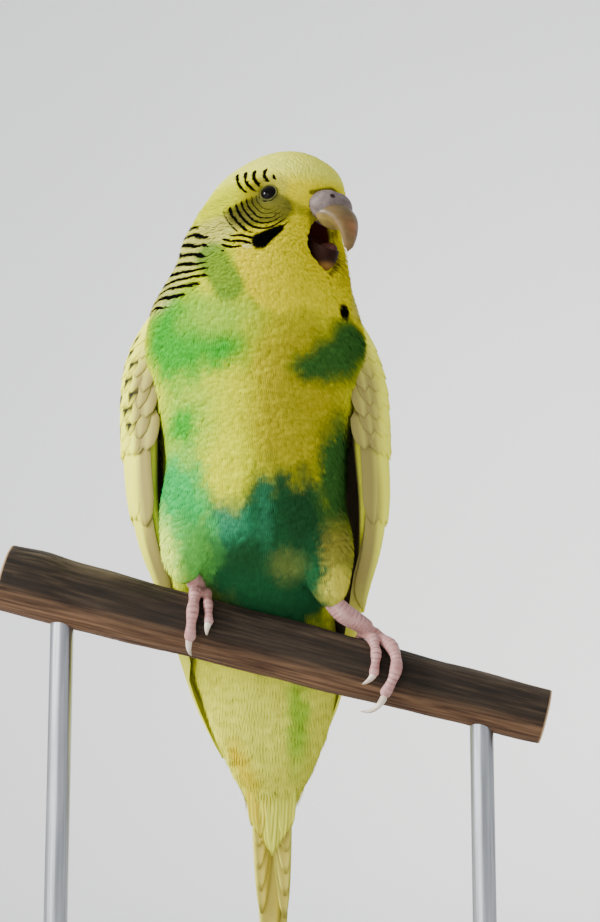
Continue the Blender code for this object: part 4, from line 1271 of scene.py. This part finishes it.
def tail_feather(reach, aside_root, aside_tip, half, layer, start=0.0, blunt=0.15):
    t, s, _ = LONG
    axis = TAIL_TIP - TAIL_ROOT
    backward = np.array((0.0, -axis[2], axis[1]))
    backward /= np.linalg.norm(backward)
    along = between(start, reach, t)
    width = half * outline_of_vane(t, blunt) * s
    aside = between(aside_root, aside_tip, t) + width
    roof = -0.10 * width**2 / half + 0.12 * bell(s, 0.0, 0.12) * (1.0 - 0.7 * t)
    top = TAIL_ROOT + axis * along[..., None]
    top[..., 0] += aside
    top += backward * (roof - layer)[..., None]
    return np.concatenate([top.reshape(-1, 3), (top - backward * 0.14).reshape(-1, 3)])


tail = Pile()
tail_shape = (*LONG[0].shape, 3)
for i, (reach, aside_root, aside_tip, half) in enumerate(TAIL_STEPS):
    points = tail_feather(reach, aside_root, aside_tip, half, 0.32 * i)
    colour = np.zeros(tail_shape) + TAIL_PALE
    colour = blend_in(colour, 0.6 * ease(0.5, 1.0, np.abs(LONG[1])), WING_EDGE)
    colour = blend_in(colour, 0.7 * ease(0.2, 1.0, LONG[1]) * (aside_tip < 0), TAIL_GOLD)
    home = np.array([0.5 + 0.03 * (i - 6), 0.5])
    tail.add(points, colour * draw.uniform(0.95, 1.03), home, 0.025, (60.0 * reach, half))
for row, (layer, below, reach, golden) in enumerate(TAIL_COVERTS):
    for i in range(11):
        aside = 0.9 * (i - 5)
        start = reach - 0.026 * abs(aside)
        points = tail_feather(start, 0.8 * aside, aside, COVERT_HALF, layer + 0.05 * (i % 3), 0.04, 0.2)
        colour = body_colour(points[: len(points) // 2] + (0.0, below, 4.0)).reshape(tail_shape)
        colour = blend_in(colour, np.full(tail_shape[:2], 0.6 if i in golden else 0.0), TAIL_GOLD)
        home = np.array([0.2 + 0.03 * i, (0.2, 0.3)[row]])
        tail.add(points, colour * draw.uniform(0.97, 1.03), home, 0.02, (24.0, COVERT_HALF))
dress(tail.build("tail_feathers"), quill_finish, "plumage_tail", "tail")

# %% [markdown]
# ## Eyes and eyelids
#
# This bird's eye is one glossy dark ball, without a pale ring in it. It sits deep, and bare grey-olive
# lids close over its rim. The lids here are a ring pressed oval, with small pearls of skin round it.

# %% Eyeballs and their lids
LID_RING = (1.80, 0.22)


# The way out of the head at one eye, and two directions across it
def face_frame(side):
    outward = Vector(lay_on_body(np.array([EYES[side]], float), 0.0, 3)[1][0]).normalized()
    across = outward.cross(Vector((0.0, 0.0, 1.0))).normalized()
    return outward, across, across.cross(outward).normalized()


eye_finish = mottled(new_finish("wet_dark_eye", 0.04, 0.08), (900.0, 2.0), tint(4, 3, 3), tint(14, 9, 7),
                     stops=(0.3, 0.75))
lid_finish = mottled(new_finish("eyelid_skin", 0.7, 0.05), (1500.0, 3.0), tint(60, 60, 26), tint(94, 94, 48),
                     (2600.0, 2.0, 0.5, 0.1))
for side, word in ((1, "right"), (-1, "left")):
    outward, across, upward = face_frame(side)
    eye = ball(EYES[side], [EYE_RADIUS - 0.05] * 3, 0.0, 48, 32, "eyeball_" + word)
    dress(soften(eye), eye_finish, "eye", "eye_" + word)
    lid = added(bpy.ops.mesh.primitive_torus_add, "eyelid_" + word, major_radius=LID_RING[0] * MM,
                minor_radius=LID_RING[1] * MM, major_segments=64, minor_segments=16)
    points = read_points(lid)
    pearl = 1.0 + 0.012 * np.cos(26.0 * np.arctan2(points[:, 1], points[:, 0]))
    points = points * (1.04, 1.02, 1.0) * pearl[:, None]
    place = np.array(EYES[side]) + np.array(outward) * 1.36
    write_points(lid, points @ np.array([across, upward, outward]) + place)
    dress(soften(lid), lid_finish, "plumage_head")

# %% [markdown]
# ## Bill, cere and mouth
#
# The upper bill is one hooked horn, wide at its root and drawn out to a point over the lower bill. The
# fleshy cere above it carries the nostrils. The lower bill is a scoop, open at the top, and the bird
# holds it ajar, so that the tongue and the mouth show. The lower bill and the mouth are painted nearly
# black, as painted shade.

# %% The upper bill
# columns: step, ahead, height, half width, half depth
BEAK_SPINE = ((0.0, 13.0, 175.6, 4.6, 3.0), (1.0, 16.8, 175.6, 4.5, 2.9), (2.0, 19.6, 174.0, 3.8, 2.5),
              (3.0, 21.0, 171.2, 2.7, 1.7), (4.0, 21.2, 168.2, 1.5, 1.0), (5.0, 20.8, 166.3, 0.45, 0.4))


def shape_bill(item, unit):
    t = np.arccos(np.clip(-unit[:, 2], -1.0, 1.0)) / pi * 5.0
    rows = read_table(BEAK_SPINE, t)
    ahead_rate = unit_rows((read_table(BEAK_SPINE, t + 0.05) - read_table(BEAK_SPINE, t - 0.05))[:, :2])
    cap = np.clip(np.sqrt(unit[:, 0] ** 2 + unit[:, 1] ** 2) * 2.6, 0.0, 1.0)
    turn = np.arctan2(unit[:, 1], unit[:, 0])
    aside = rows[:, 2] * cap * np.sin(turn)
    out = rows[:, 3] * cap * np.cos(turn)
    out = np.where(out < 0, out * between(1.0, 0.62, np.abs(np.sin(turn)) ** 0.5 * ease(0.5, 2.0, t)), out)
    out = out + 0.16 * bell(aside, 0.0, 0.7) * (out > 0) * ease(0.8, 2.0, t)
    ahead = rows[:, 0] - ahead_rate[:, 1] * out
    write_points(item, to_head(ahead, aside, rows[:, 1] + ahead_rate[:, 0] * out))
    return t


upper, unit = unit_ball("upper_bill", 48, 56)
along_bill = shape_bill(upper, unit)
HORN = tint(106, 88, 52)
HORN_PALE = tint(166, 144, 78)
HORN_BROWN = tint(116, 92, 52)
HORN_PINK = tint(176, 100, 58)
points = read_points(upper)
ahead = from_head(points, HEAD_MIDDLE)[0]
rim = read_table(BEAK_SPINE, along_bill)
front_side = (ahead - rim[:, 0]) * 0.6 + (points[:, 2] - rim[:, 1]) * 0.6
colour = blend_in(np.zeros(points.shape) + HORN, ease(1.6, 3.0, along_bill), HORN_BROWN)
colour = blend_in(colour, 0.8 * ease(2.2, 3.6, along_bill) * ease(0.6, 1.7, front_side), HORN_PINK)
colour = blend_in(colour, 0.75 * ease(0.0, -1.3, front_side), HORN_PALE)
paint_points(upper.data, colour)
horn, tree, shader = new_finish("bill_horn", 0.45, 0.25, 0.08, glow=0.06, glow_mm=(1.2, 0.7, 0.4))
grain = noise(tree, 420.0, 4.0, (1.0, 1.0, 2.5))
shade = ramp(tree, grain, (0.3, (0.72, 0.70, 0.68)), (0.7, WHITE))
tree.links.new(over_markings(tree, shade), shader.inputs["Base Color"])
bump(tree, shader, grain, 0.35, 0.12)
soften(upper, 60.0)
dress(upper, horn, "horn", "beak_upper")

# %% The cere with its nostrils
# Painted shade: the cere is darkened in its hollows, such as the nostrils, found from the mesh's pointiness
def pits_painted_shade(tree, shade):
    pit = tree.nodes.new("ShaderNodeNewGeometry")
    deep = ramp(tree, pit.outputs["Pointiness"], (0.40, WHITE), (0.48, BLACK))
    return mix(tree, deep, shade, tint(60, 54, 70))


cere = ball(CERE, CERE_RADII, TURN_HEAD, 64, 44, "cere_skin")
points = read_points(cere)
d = points - np.array(CERE)
aside = from_head(points, CERE)[1]
groove = bell(aside, 0.0, 1.0) * ease(-1.0, 3.0, d[:, 2])
lobes = bell(np.abs(aside), 2.6, 1.5) * ease(-1.0, 2.0, d[:, 2])
write_points(cere, np.array(CERE) + d * (1.0 - 0.07 * groove + 0.012 * lobes)[:, None])
nostrils = [ball(head_place(18.7, side * 2.6, 178.8), (0.85, 0.72, 0.68), TURN_HEAD, 20, 12) for side in (1, -1)]
cut(cere, nostrils)
cere_finish = mottled(new_finish("cere_skin", 0.6, 0.2, glow=0.1, glow_mm=(1.0, 0.6, 0.6)), (700.0, 4.0),
                      tint(94, 82, 78), tint(128, 113, 108), (2400.0, 3.0, 0.4, 0.12), pits_painted_shade)
dress(soften(cere), cere_finish, "cere", "cere")

# %% The lower bill and tongue
lower = ball(SCOOP, SCOOP_RADII, TURN_HEAD, 64, 44, "lower_bill")
hollow_place = SCOOP + Vector((0.0, 0.0, 0.3))
hollow_radii = [r - 0.7 for r in SCOOP_RADII]
hollow = ball(hollow_place, hollow_radii, TURN_HEAD, 48, 32)
above = added(bpy.ops.mesh.primitive_cube_add, size=MM, location=head_place(17.6, 0.0, 175.6) * MM)
above.scale = (24.0, 18.0, 14.0)
above.rotation_euler = (Matrix.Rotation(TURN_HEAD, 3, "Z") @ Matrix.Rotation(radians(34.0), 3, "Y")).to_euler()
settle(above)
cut(lower, [hollow, above])
points = read_points(lower)
# Painted shade: the lower bill is coloured near-black brown, and inside its hollow the mouth's dark red-brown
# lining is deepened as painted shade; its lower rim keeps its own brown horn
rim = 0.8 * ease(-3.2, -4.6, points[:, 2] - SCOOP[2])
colour = blend_in(np.zeros(points.shape) + tint(42, 20, 13), rim, tint(150, 108, 52))
inner = ease(1.10, 1.03, outside_ellipsoid(points, hollow_place, hollow_radii))
paint_points(lower.data, blend_in(colour, inner, tint(64, 24, 20)))
lower_horn = mottled(new_finish("lower_horn", 0.6, 0.08), (500.0, 4.0), (0.7, 0.68, 0.66), WHITE,
                     (1500.0, 3.0, 0.3, 0.1), over_markings)
dress(soften(lower, 40.0), lower_horn, "horn", "beak_lower")

tongue = ball(head_place(13.4, 0.0, 168.0), (4.0, 1.7, 2.0), TURN_HEAD, 40, 28, "tongue_flesh")
tongue_finish = mottled(new_finish("tongue_flesh", 0.5, 0.15), (1200.0, 3.0), tint(54, 26, 22),
                        tint(84, 48, 42), (3000.0, 2.0, 0.4, 0.1))
dress(soften(tongue), tongue_finish, "tongue", "tongue")

# %% [markdown]
# ## The branch
#
# The perch is a cut length of natural branch. It isn't a true cylinder: it tapers, waves a little and
# has a small knot. The bark runs in long streaks, and the two saw cuts show paler wood with rings.

# %% A cut branch shaped from a sphere
PERCH_MIDDLE = 83.6
PERCH_SLOPE = radians(14.5)
PERCH_ENDS = (-57.0, 62.0)
PERCH_RADIUS = 6.75
SAW_SHARE = 0.07
# columns: ridges round the branch, slant, start, height
RIDGES = ((9, 0.05, 0.7, 0.05), (14, -0.03, 2.1, 0.045), (23, 0.08, 4.0, 0.035), (31, -0.06, 1.2, 0.025))


def perch_radius(x, turn):
    knot = 0.5 * bell(x, -49.0, 5.0) * np.maximum(0.0, np.cos(turn - 0.6))
    wave = 0.10 * np.sin(0.13 * x + 2.0 * turn) + 0.08 * np.sin(0.31 * x - turn)
    return PERCH_RADIUS - 0.0125 * x + wave + knot


# Turn 0 is the top of the branch and a quarter turn is its front
def perch_place(x, turn, radius):
    x, turn, radius = np.broadcast_arrays(np.asarray(x, float), turn, radius)
    up = np.cos(turn) * radius
    front = np.sin(turn) * radius
    z = PERCH_MIDDLE - x * sin(PERCH_SLOPE) / cos(PERCH_SLOPE)
    return np.stack([x + sin(PERCH_SLOPE) * up, -front, z + cos(PERCH_SLOPE) * up], -1)


branch, unit = unit_ball("branch", 112, 190)
t = np.arccos(np.clip(-unit[:, 2], -1.0, 1.0)) / pi
turn = np.arctan2(unit[:, 1], unit[:, 0])
share = np.clip((t - SAW_SHARE) / (1.0 - 2.0 * SAW_SHARE), 0.0, 1.0)
x = between(PERCH_ENDS[0], PERCH_ENDS[1], share)
fill = np.minimum(1.0, np.minimum(t, 1.0 - t) / SAW_SHARE)
ridge = np.zeros(len(x))
for count, slant, wave, height in RIDGES:
    ridge += height * np.sin(count * turn + slant * x * 3.0 + wave + 0.6 * np.sin(0.21 * x + wave))
pocks = np.maximum(0.0, np.sin(0.9 * x + 3.0 * np.sin(2.0 * turn)) * np.sin(7.0 * turn + 0.4 * x) - 0.8) * 0.5
reach = (perch_radius(x, turn) - 0.06 + ridge - pocks) * fill
saw = 0.03 * np.sin(40.0 * fill) * (fill < 1.0)
write_points(branch, perch_place(x + np.where(t < 0.5, saw, -saw), turn, reach))
write_values(branch.data, "CutEnd", fill < 0.985)
write_values(branch.data, "Ring", fill * PERCH_RADIUS)
# TurnAcross later lightens the top and the underside of the bark as painted highlights
write_values(branch.data, "TurnAcross", np.cos(turn))
soften(branch, 35.0)

bark, tree, shader = new_finish("bark", 0.85, 0.25)
lean = (0.0, PERCH_SLOPE, 0.0)
streaks = noise(tree, 1300.0, 6.0, (0.045, 1.0, 1.0), lean)
broad = noise(tree, 160.0, 3.0, (0.35, 1.0, 1.0), lean)
dark = ramp(tree, streaks, (0.30, tint(24, 18, 12)), (0.5, tint(40, 31, 22)), (0.72, tint(62, 50, 37)))
# Painted highlights: the top of the branch turns a paler grey in broken patches, and the underside a lighter,
# warmer brown
lit_underside_brown = ramp(tree, streaks, (0.32, tint(66, 44, 30)), (0.70, tint(140, 104, 74)))
grey = ramp(tree, streaks, (0.32, tint(50, 41, 31)), (0.70, tint(118, 100, 78)))
above = ramp(tree, attribute_value(tree, "TurnAcross"), (0.45, BLACK), (0.95, WHITE))
patchy = ramp(tree, broad, (0.40, (0.1, 0.1, 0.1)), (0.62, (0.9, 0.9, 0.9)))
down = reckon(tree, "MULTIPLY", attribute_value(tree, "TurnAcross"), -1.0)
below = ramp(tree, down, (0.25, BLACK), (0.8, (0.8, 0.8, 0.8)))
colour = mix(tree, below, dark, lit_underside_brown)
colour = mix(tree, mix(tree, 1.0, above, patchy, "MULTIPLY"), colour, grey)
rings = reckon(tree, "SINE", reckon(tree, "MULTIPLY", attribute_value(tree, "Ring"), 9.0))
wood = ramp(tree, rings, (0.0, tint(206, 172, 128)), (1.0, tint(176, 138, 94)))
tree.links.new(mix(tree, attribute_value(tree, "CutEnd"), colour, wood), shader.inputs["Base Color"])
bump(tree, shader, streaks, 0.7, 0.5)
dress(branch, bark, "bark", "perch")

# %% [markdown]
# ## Feet and claws
#
# A parrot's foot has two toes in front and two behind, each one wrapped round the branch. The skin is
# bare and pink, with broad scales across the top of each toe and soft pads below. Each foot is a chain
# of balls along the toes' paths, fused by a voxel remesh, and the scales are then raised on it.

# %% Paths of the toes and the feet's skin
# columns: x, y, height, radius
SHANKS = {
    "right": ((-15.8, -9.6, 99.4, 1.9), (-15.6, -9.2, 98.2, 1.85), (-15.2, -6.4, 97.4, 1.8),
              (-14.2, -2.2, 96.4, 2.0)),
    "left": ((15.0, -6.3, 93.4, 2.2), (15.4, -6.0, 92.2, 2.1), (17.8, -5.0, 89.8, 2.3),
             (20.4, -3.6, 88.3, 2.1), (22.6, -1.8, 87.2, 1.9)),
}
# name: x at the foot, x at the end, sideways bow, turns round the perch in degrees, radius,
# then the claw's last x, last turn and how far it stands off the perch
TOES = {
    "right": {
        "inner": (-15.0, -11.6, 0.0, 2.0, 84.0, 1.2, -11.2, 106.0, 0.7),
        "outer": (-16.6, -14.6, -0.2, 2.0, 112.0, 1.5, -13.4, 148.0, 0.7),
        "back_inner": (-15.0, -11.6, 0.0, -4.0, -78.0, 1.15, -10.8, -108.0, 0.8),
        "back_outer": (-16.8, -17.8, 0.0, -4.0, -98.0, 1.35, -17.8, -132.0, 0.8),
    },
    "left": {
        "inner": (20.4, 24.6, 1.0, 4.0, 96.0, 1.3, 22.6, 120.0, 0.8),
        "outer": (21.8, 28.0, 3.4, 4.0, 122.0, 1.5, 23.6, 154.0, 3.4),
        "back_inner": (20.2, 19.4, 0.0, -4.0, -78.0, 1.15, 19.2, -108.0, 0.8),
        "back_outer": (22.0, 26.4, 0.0, -4.0, -98.0, 1.35, 27.2, -132.0, 0.8),
    },
}


def toe_path(toe, steps):
    x_foot, x_end, bow, turn_foot, turn_end, radius = toe[:6]
    t = np.linspace(0.0, 1.0, steps)
    x = between(x_foot, x_end, t) + bow * np.sin(pi * t)
    turn = np.radians(between(turn_foot, turn_end, t))
    thick = radius * (1.0 - 0.22 * t) * (1.0 + 0.11 * np.cos(3.0 * 2.0 * pi * t))
    place = perch_place(x, turn, perch_radius(x, turn) + 0.12 + thick)
    return np.concatenate([place, thick[:, None]], 1)


def claw_path(toe, steps):
    _, x_end, _, _, turn_end, radius, x_tip, turn_tip, rise = toe
    thick = radius * 0.78
    way = 1.0 if turn_end > 0 else -1.0
    start = turn_end + way * degrees((thick * 0.2) / (PERCH_RADIUS + thick))
    t = np.linspace(0.0, 1.0, steps)
    x = between(x_end, x_tip, t**1.7)
    turn = np.radians(between(start, turn_tip, t**0.9))
    off = between(0.3 + thick, 0.6 + rise, t) + 0.5 * rise * np.sin(pi * t)
    place = perch_place(x, turn, perch_radius(x, turn) + off)
    width = between(0.86, 0.12, t**1.2)
    return np.concatenate([place, width[:, None]], 1)


# The nearest row of a path for each point: how far along the path it is, its place and its radius
def nearest_on(path, points):
    tree = kdtree.KDTree(len(path))
    for index, row in enumerate(path):
        tree.insert(row[:3], index)
    tree.balance()
    walk = np.concatenate([[0.0], np.cumsum(np.linalg.norm(np.diff(path[:, :3], axis=0), axis=1))])
    index = np.array([tree.find(p)[1] for p in points])
    return walk[index], path[index, :3], path[index, 3]


def make_foot(side):
    paths = [toe_path(toe, 61) for toe in TOES[side].values()]
    lumps = []
    for path in paths:
        lumps += ball_chain(path[::3], 16, 10)
    paths.append(smooth_path(SHANKS[side], 60))
    lumps += ball_chain(paths[-1][::4], 16, 10)
    foot = join("foot_skin_" + side, lumps)
    apply_modifier(foot, "REMESH", mode="VOXEL", voxel_size=0.2 * MM)
    apply_modifier(foot, "SMOOTH", factor=0.5, iterations=4)
    points = read_points(foot)
    best = np.full(len(points), 1e3)
    relief = np.zeros(len(points))
    crease = np.zeros(len(points))
    outward = np.zeros(points.shape)
    for path in paths:
        walk, middle, radius = nearest_on(path, points)
        away = points - middle
        gap = np.linalg.norm(away, axis=1)
        axis_z = PERCH_MIDDLE - middle[:, 0] * np.tan(PERCH_SLOPE)
        upper = np.stack([np.zeros(len(points)), middle[:, 1], middle[:, 2] - axis_z], -1)
        upper /= np.maximum(np.linalg.norm(upper, axis=1), 0.1)[:, None]
        facing = (away * upper).sum(1) / np.maximum(gap, 0.1)
        scale = np.abs(np.sin(pi * walk / 1.05))
        pads = 0.05 * np.sin(2.0 * pi * walk / 0.8) * ease(0.2, -0.4, facing)
        lift = 0.10 * (scale**0.5 - 0.75) * ease(-0.1, 0.5, facing) + pads
        nearer = gap - radius < best
        best = np.where(nearer, gap - radius, best)
        relief = np.where(nearer, lift, relief)
        # The crease value darkens the skin between the scales on the toes' outer side as painted shade
        crease = np.where(nearer, (1.0 - scale) ** 3 * ease(-0.1, 0.5, facing), crease)
        outward = np.where(nearer[:, None], away / np.maximum(gap, 0.1)[:, None], outward)
    write_points(foot, points + outward * relief[:, None])
    write_values(foot.data, "Crease", crease)
    soften(foot, 80.0)
    return foot


# Painted shade: the toes' skin is darkened in the creases between their scales
def creases_painted_shade(tree, shade):
    return mix(tree, attribute_value(tree, "Crease"), shade, tint(138, 86, 86))


made = new_finish("foot_skin", 0.5, 0.4, sheen=0.05, glow=0.2, glow_mm=(1.4, 0.6, 0.5))
foot_finish = mottled(made, (380.0, 4.0), tint(168, 116, 110), tint(202, 156, 148), (3200.0, 3.0, 0.35, 0.1),
                      creases_painted_shade)
for side in ("right", "left"):
    dress(make_foot(side), foot_finish, "bare_skin", "foot_" + side)

# %% Claws drawn out from spheres
def tips_darker(tree, shade):
    return mix(tree, reckon(tree, "POWER", attribute_value(tree, "Along"), 3.0), shade, tint(132, 110, 92))


claw_finish = mottled(new_finish("claw_horn", 0.3, 0.5, 0.25, glow=0.25, glow_mm=(1.0, 0.6, 0.4)), (500.0, 3.0),
                      tint(206, 184, 160), tint(240, 226, 208), (1400.0, 2.0, 0.3, 0.08), tips_darker)


def draw_out(name, path):
    item, unit = unit_ball(name, 24, 40)
    t = np.arccos(np.clip(-unit[:, 2], -1.0, 1.0)) / pi
    rows = np.concatenate([np.linspace(0.0, 1.0, len(path))[:, None], path], 1)
    middle = read_table(rows, t)
    ahead = unit_rows(read_table(rows, t + 0.02)[:, :3] - read_table(rows, t - 0.02)[:, :3])
    aside = unit_rows(np.cross(ahead, (1.0, 0.0, 0.3)))
    other = np.cross(ahead, aside)
    turn = np.arctan2(unit[:, 1], unit[:, 0])
    cap = np.clip(np.hypot(unit[:, 0], unit[:, 1]) * 2.5, 0.0, 1.0)
    size = (middle[:, 3] * cap)[:, None]
    write_points(item, middle[:, :3] + (aside * np.cos(turn)[:, None] + other * np.sin(turn)[:, None]) * size)
    write_values(item.data, "Along", t)
    return soften(item, 80.0)


for side, toes in TOES.items():
    for word, toe in toes.items():
        claw = draw_out("claw_horn_" + side + "_" + word, claw_path(toe, 9))
        dress(claw, claw_finish, "claw", "claw_" + side + "_" + word)

# %% [markdown]
# ## The display stand
#
# A plain satin base with rounded corners and two steel rods carry the branch at both ends. It has no
# lettering. The base is wide enough that the model stands by itself.

# %% Base and rods
BASE_SIZE = (123.98, 83.98, 6.0)
BASE_MIDDLE = (2.0, 12.0, 3.0)
ROD_RADIUS = 2.6
ROD_SINK = 2.0


# Rounds the edges whose two heights, in millimetres, pass a test
def round_edges(item, wanted, width, steps):
    bpy.ops.object.mode_set(mode="EDIT")
    bpy.ops.mesh.select_mode(type="EDGE")
    bpy.ops.mesh.select_all(action="DESELECT")
    bpy.ops.object.mode_set(mode="OBJECT")
    for edge in item.data.edges:
        edge.select = wanted(*(item.data.vertices[i].co.z / MM for i in edge.vertices))
    bpy.ops.object.mode_set(mode="EDIT")
    bpy.ops.mesh.bevel(offset=width * MM, segments=steps, profile=0.5)
    bpy.ops.object.mode_set(mode="OBJECT")


base = added(bpy.ops.mesh.primitive_cube_add, "base_plate", size=MM, location=Vector(BASE_MIDDLE) * MM)
base.scale = BASE_SIZE
settle(base)
round_edges(base, lambda one, other: abs(one - other) > 1.0, 14.0, 12)
round_edges(base, lambda one, other: min(one, other) > 5.9, 1.0, 4)
soften(base, 30.0)
base_finish = mottled(new_finish("satin_base", 0.38, 0.5, 0.15), (60.0, 4.0), tint(70, 72, 74),
                      tint(80, 82, 84), (1600.0, 2.0, 0.15, 0.1))
dress(base, base_finish, "stand", "stand_base")

steel, tree, shader = new_finish("brushed_steel", 0.32)
shader.inputs["Metallic"].default_value = 1.0
brush = noise(tree, 1800.0, 3.0, (1.0, 1.0, 0.03))
shade = ramp(tree, brush, (0.3, tint(150, 152, 156)), (0.7, tint(190, 192, 196)))
tree.links.new(shade, shader.inputs["Base Color"])
bump(tree, shader, brush, 0.2, 0.04)
for x, side in ((-44.0, "right"), (48.0, "left")):
    top = float(PERCH_MIDDLE - x * np.tan(PERCH_SLOPE)) - ROD_SINK
    rod = added(bpy.ops.mesh.primitive_cylinder_add, "steel_rod_" + side, vertices=64, radius=ROD_RADIUS * MM,
                depth=(top - BASE_SIZE[2]) * MM, location=Vector((x, 0.0, (top + BASE_SIZE[2]) / 2.0)) * MM)
    dress(soften(settle(rod), 40.0), steel, "stand_rod", "stand_rod_" + side)

# %% [markdown]
# ## Light, backdrop and camera
#
# The bird is lit as in a small studio. One soft lamp stands high on the left and a weaker one low in
# front of it. A third lights the bird from behind, a fourth lights the wall, and the room is pale. The
# camera looks up at the bird a little.

# %% Floor, backdrop, lamps and camera
def make_stage():
    floor = added(bpy.ops.mesh.primitive_plane_add, "floor", size=1.0, location=(0.0, 0.0, 0.0))
    floor.scale = (6.0, 3.0, 1.0)
    settle(floor)
    work = bmesh.new()
    work.from_mesh(floor.data)
    far = [e for e in work.edges if all(v.co.y > 1.4 for v in e.verts)]
    for rise, back in ((0.02, 0.10), (0.10, 0.18), (0.25, 0.22), (3.0, 0.22)):
        grown = bmesh.ops.extrude_edge_only(work, edges=far)
        for corner in (g for g in grown["geom"] if isinstance(g, bmesh.types.BMVert)):
            corner.co.y = 1.5 + back
            corner.co.z = rise
        far = [g for g in grown["geom"] if isinstance(g, bmesh.types.BMEdge)]
    work.to_mesh(floor.data)
    work.free()
    paper = mottled(new_finish("pale_paper", 0.9), (1.2, 2.0), tint(232, 231, 228), tint(236, 237, 237))
    floor.data.materials.append(paper)
    soften(floor, 40.0)


BIRD = (0.0, 0.0, 0.13)
# columns: name, place, size, power, what it is aimed at
LAMPS = (
    ("key_lamp", (-0.98, -0.34, 0.52), 0.34, 20.0, BIRD),
    ("fill_lamp", (-0.6, -0.85, 0.12), 0.7, 4.5, BIRD),
    ("back_lamp", (-0.3, 0.8, 0.8), 0.6, 5.0, BIRD),
    ("wall_lamp", (0.5, 0.7, 0.3), 0.5, 14.0, (0.35, 1.7, 0.45)),
)


def add_lamp(name, place, size, power, aim):
    lamp = added(bpy.ops.object.light_add, name, type="AREA", location=place)
    lamp.data.shape = "DISK"
    lamp.data.size = size
    lamp.data.energy = power
    lamp.rotation_euler = (Vector(aim) - Vector(place)).to_track_quat("-Z", "Y").to_euler()


make_stage()
for lamp in LAMPS:
    add_lamp(*lamp)
room = bpy.data.worlds.new("room")
room.use_nodes = True
room.node_tree.nodes["Background"].inputs["Color"].default_value = (0.84, 0.86, 0.9, 1.0)
room.node_tree.nodes["Background"].inputs["Strength"].default_value = 0.95
bpy.context.scene.world = room

LOOK_UP = radians(12.0)
AIM = Vector((8.4, -8.0, 123.0))
DISTANCE = 500.0
SENSOR = 36.0
PICTURE_WIDTH = 600.0
MM_TO_A_PIXEL = 0.22
camera = added(bpy.ops.object.camera_add)
camera.data.sensor_fit = "HORIZONTAL"
camera.data.sensor_width = SENSOR
camera.data.lens = SENSOR * (DISTANCE / MM_TO_A_PIXEL) / PICTURE_WIDTH
camera.rotation_euler = (pi / 2 + LOOK_UP, 0.0, 0.0)
camera.location = (AIM - Vector((0.0, cos(LOOK_UP), sin(LOOK_UP))) * DISTANCE) * MM
camera.data.clip_start = 0.01
bpy.context.scene.camera = camera
print("camera at", [round(v, 4) for v in camera.location])
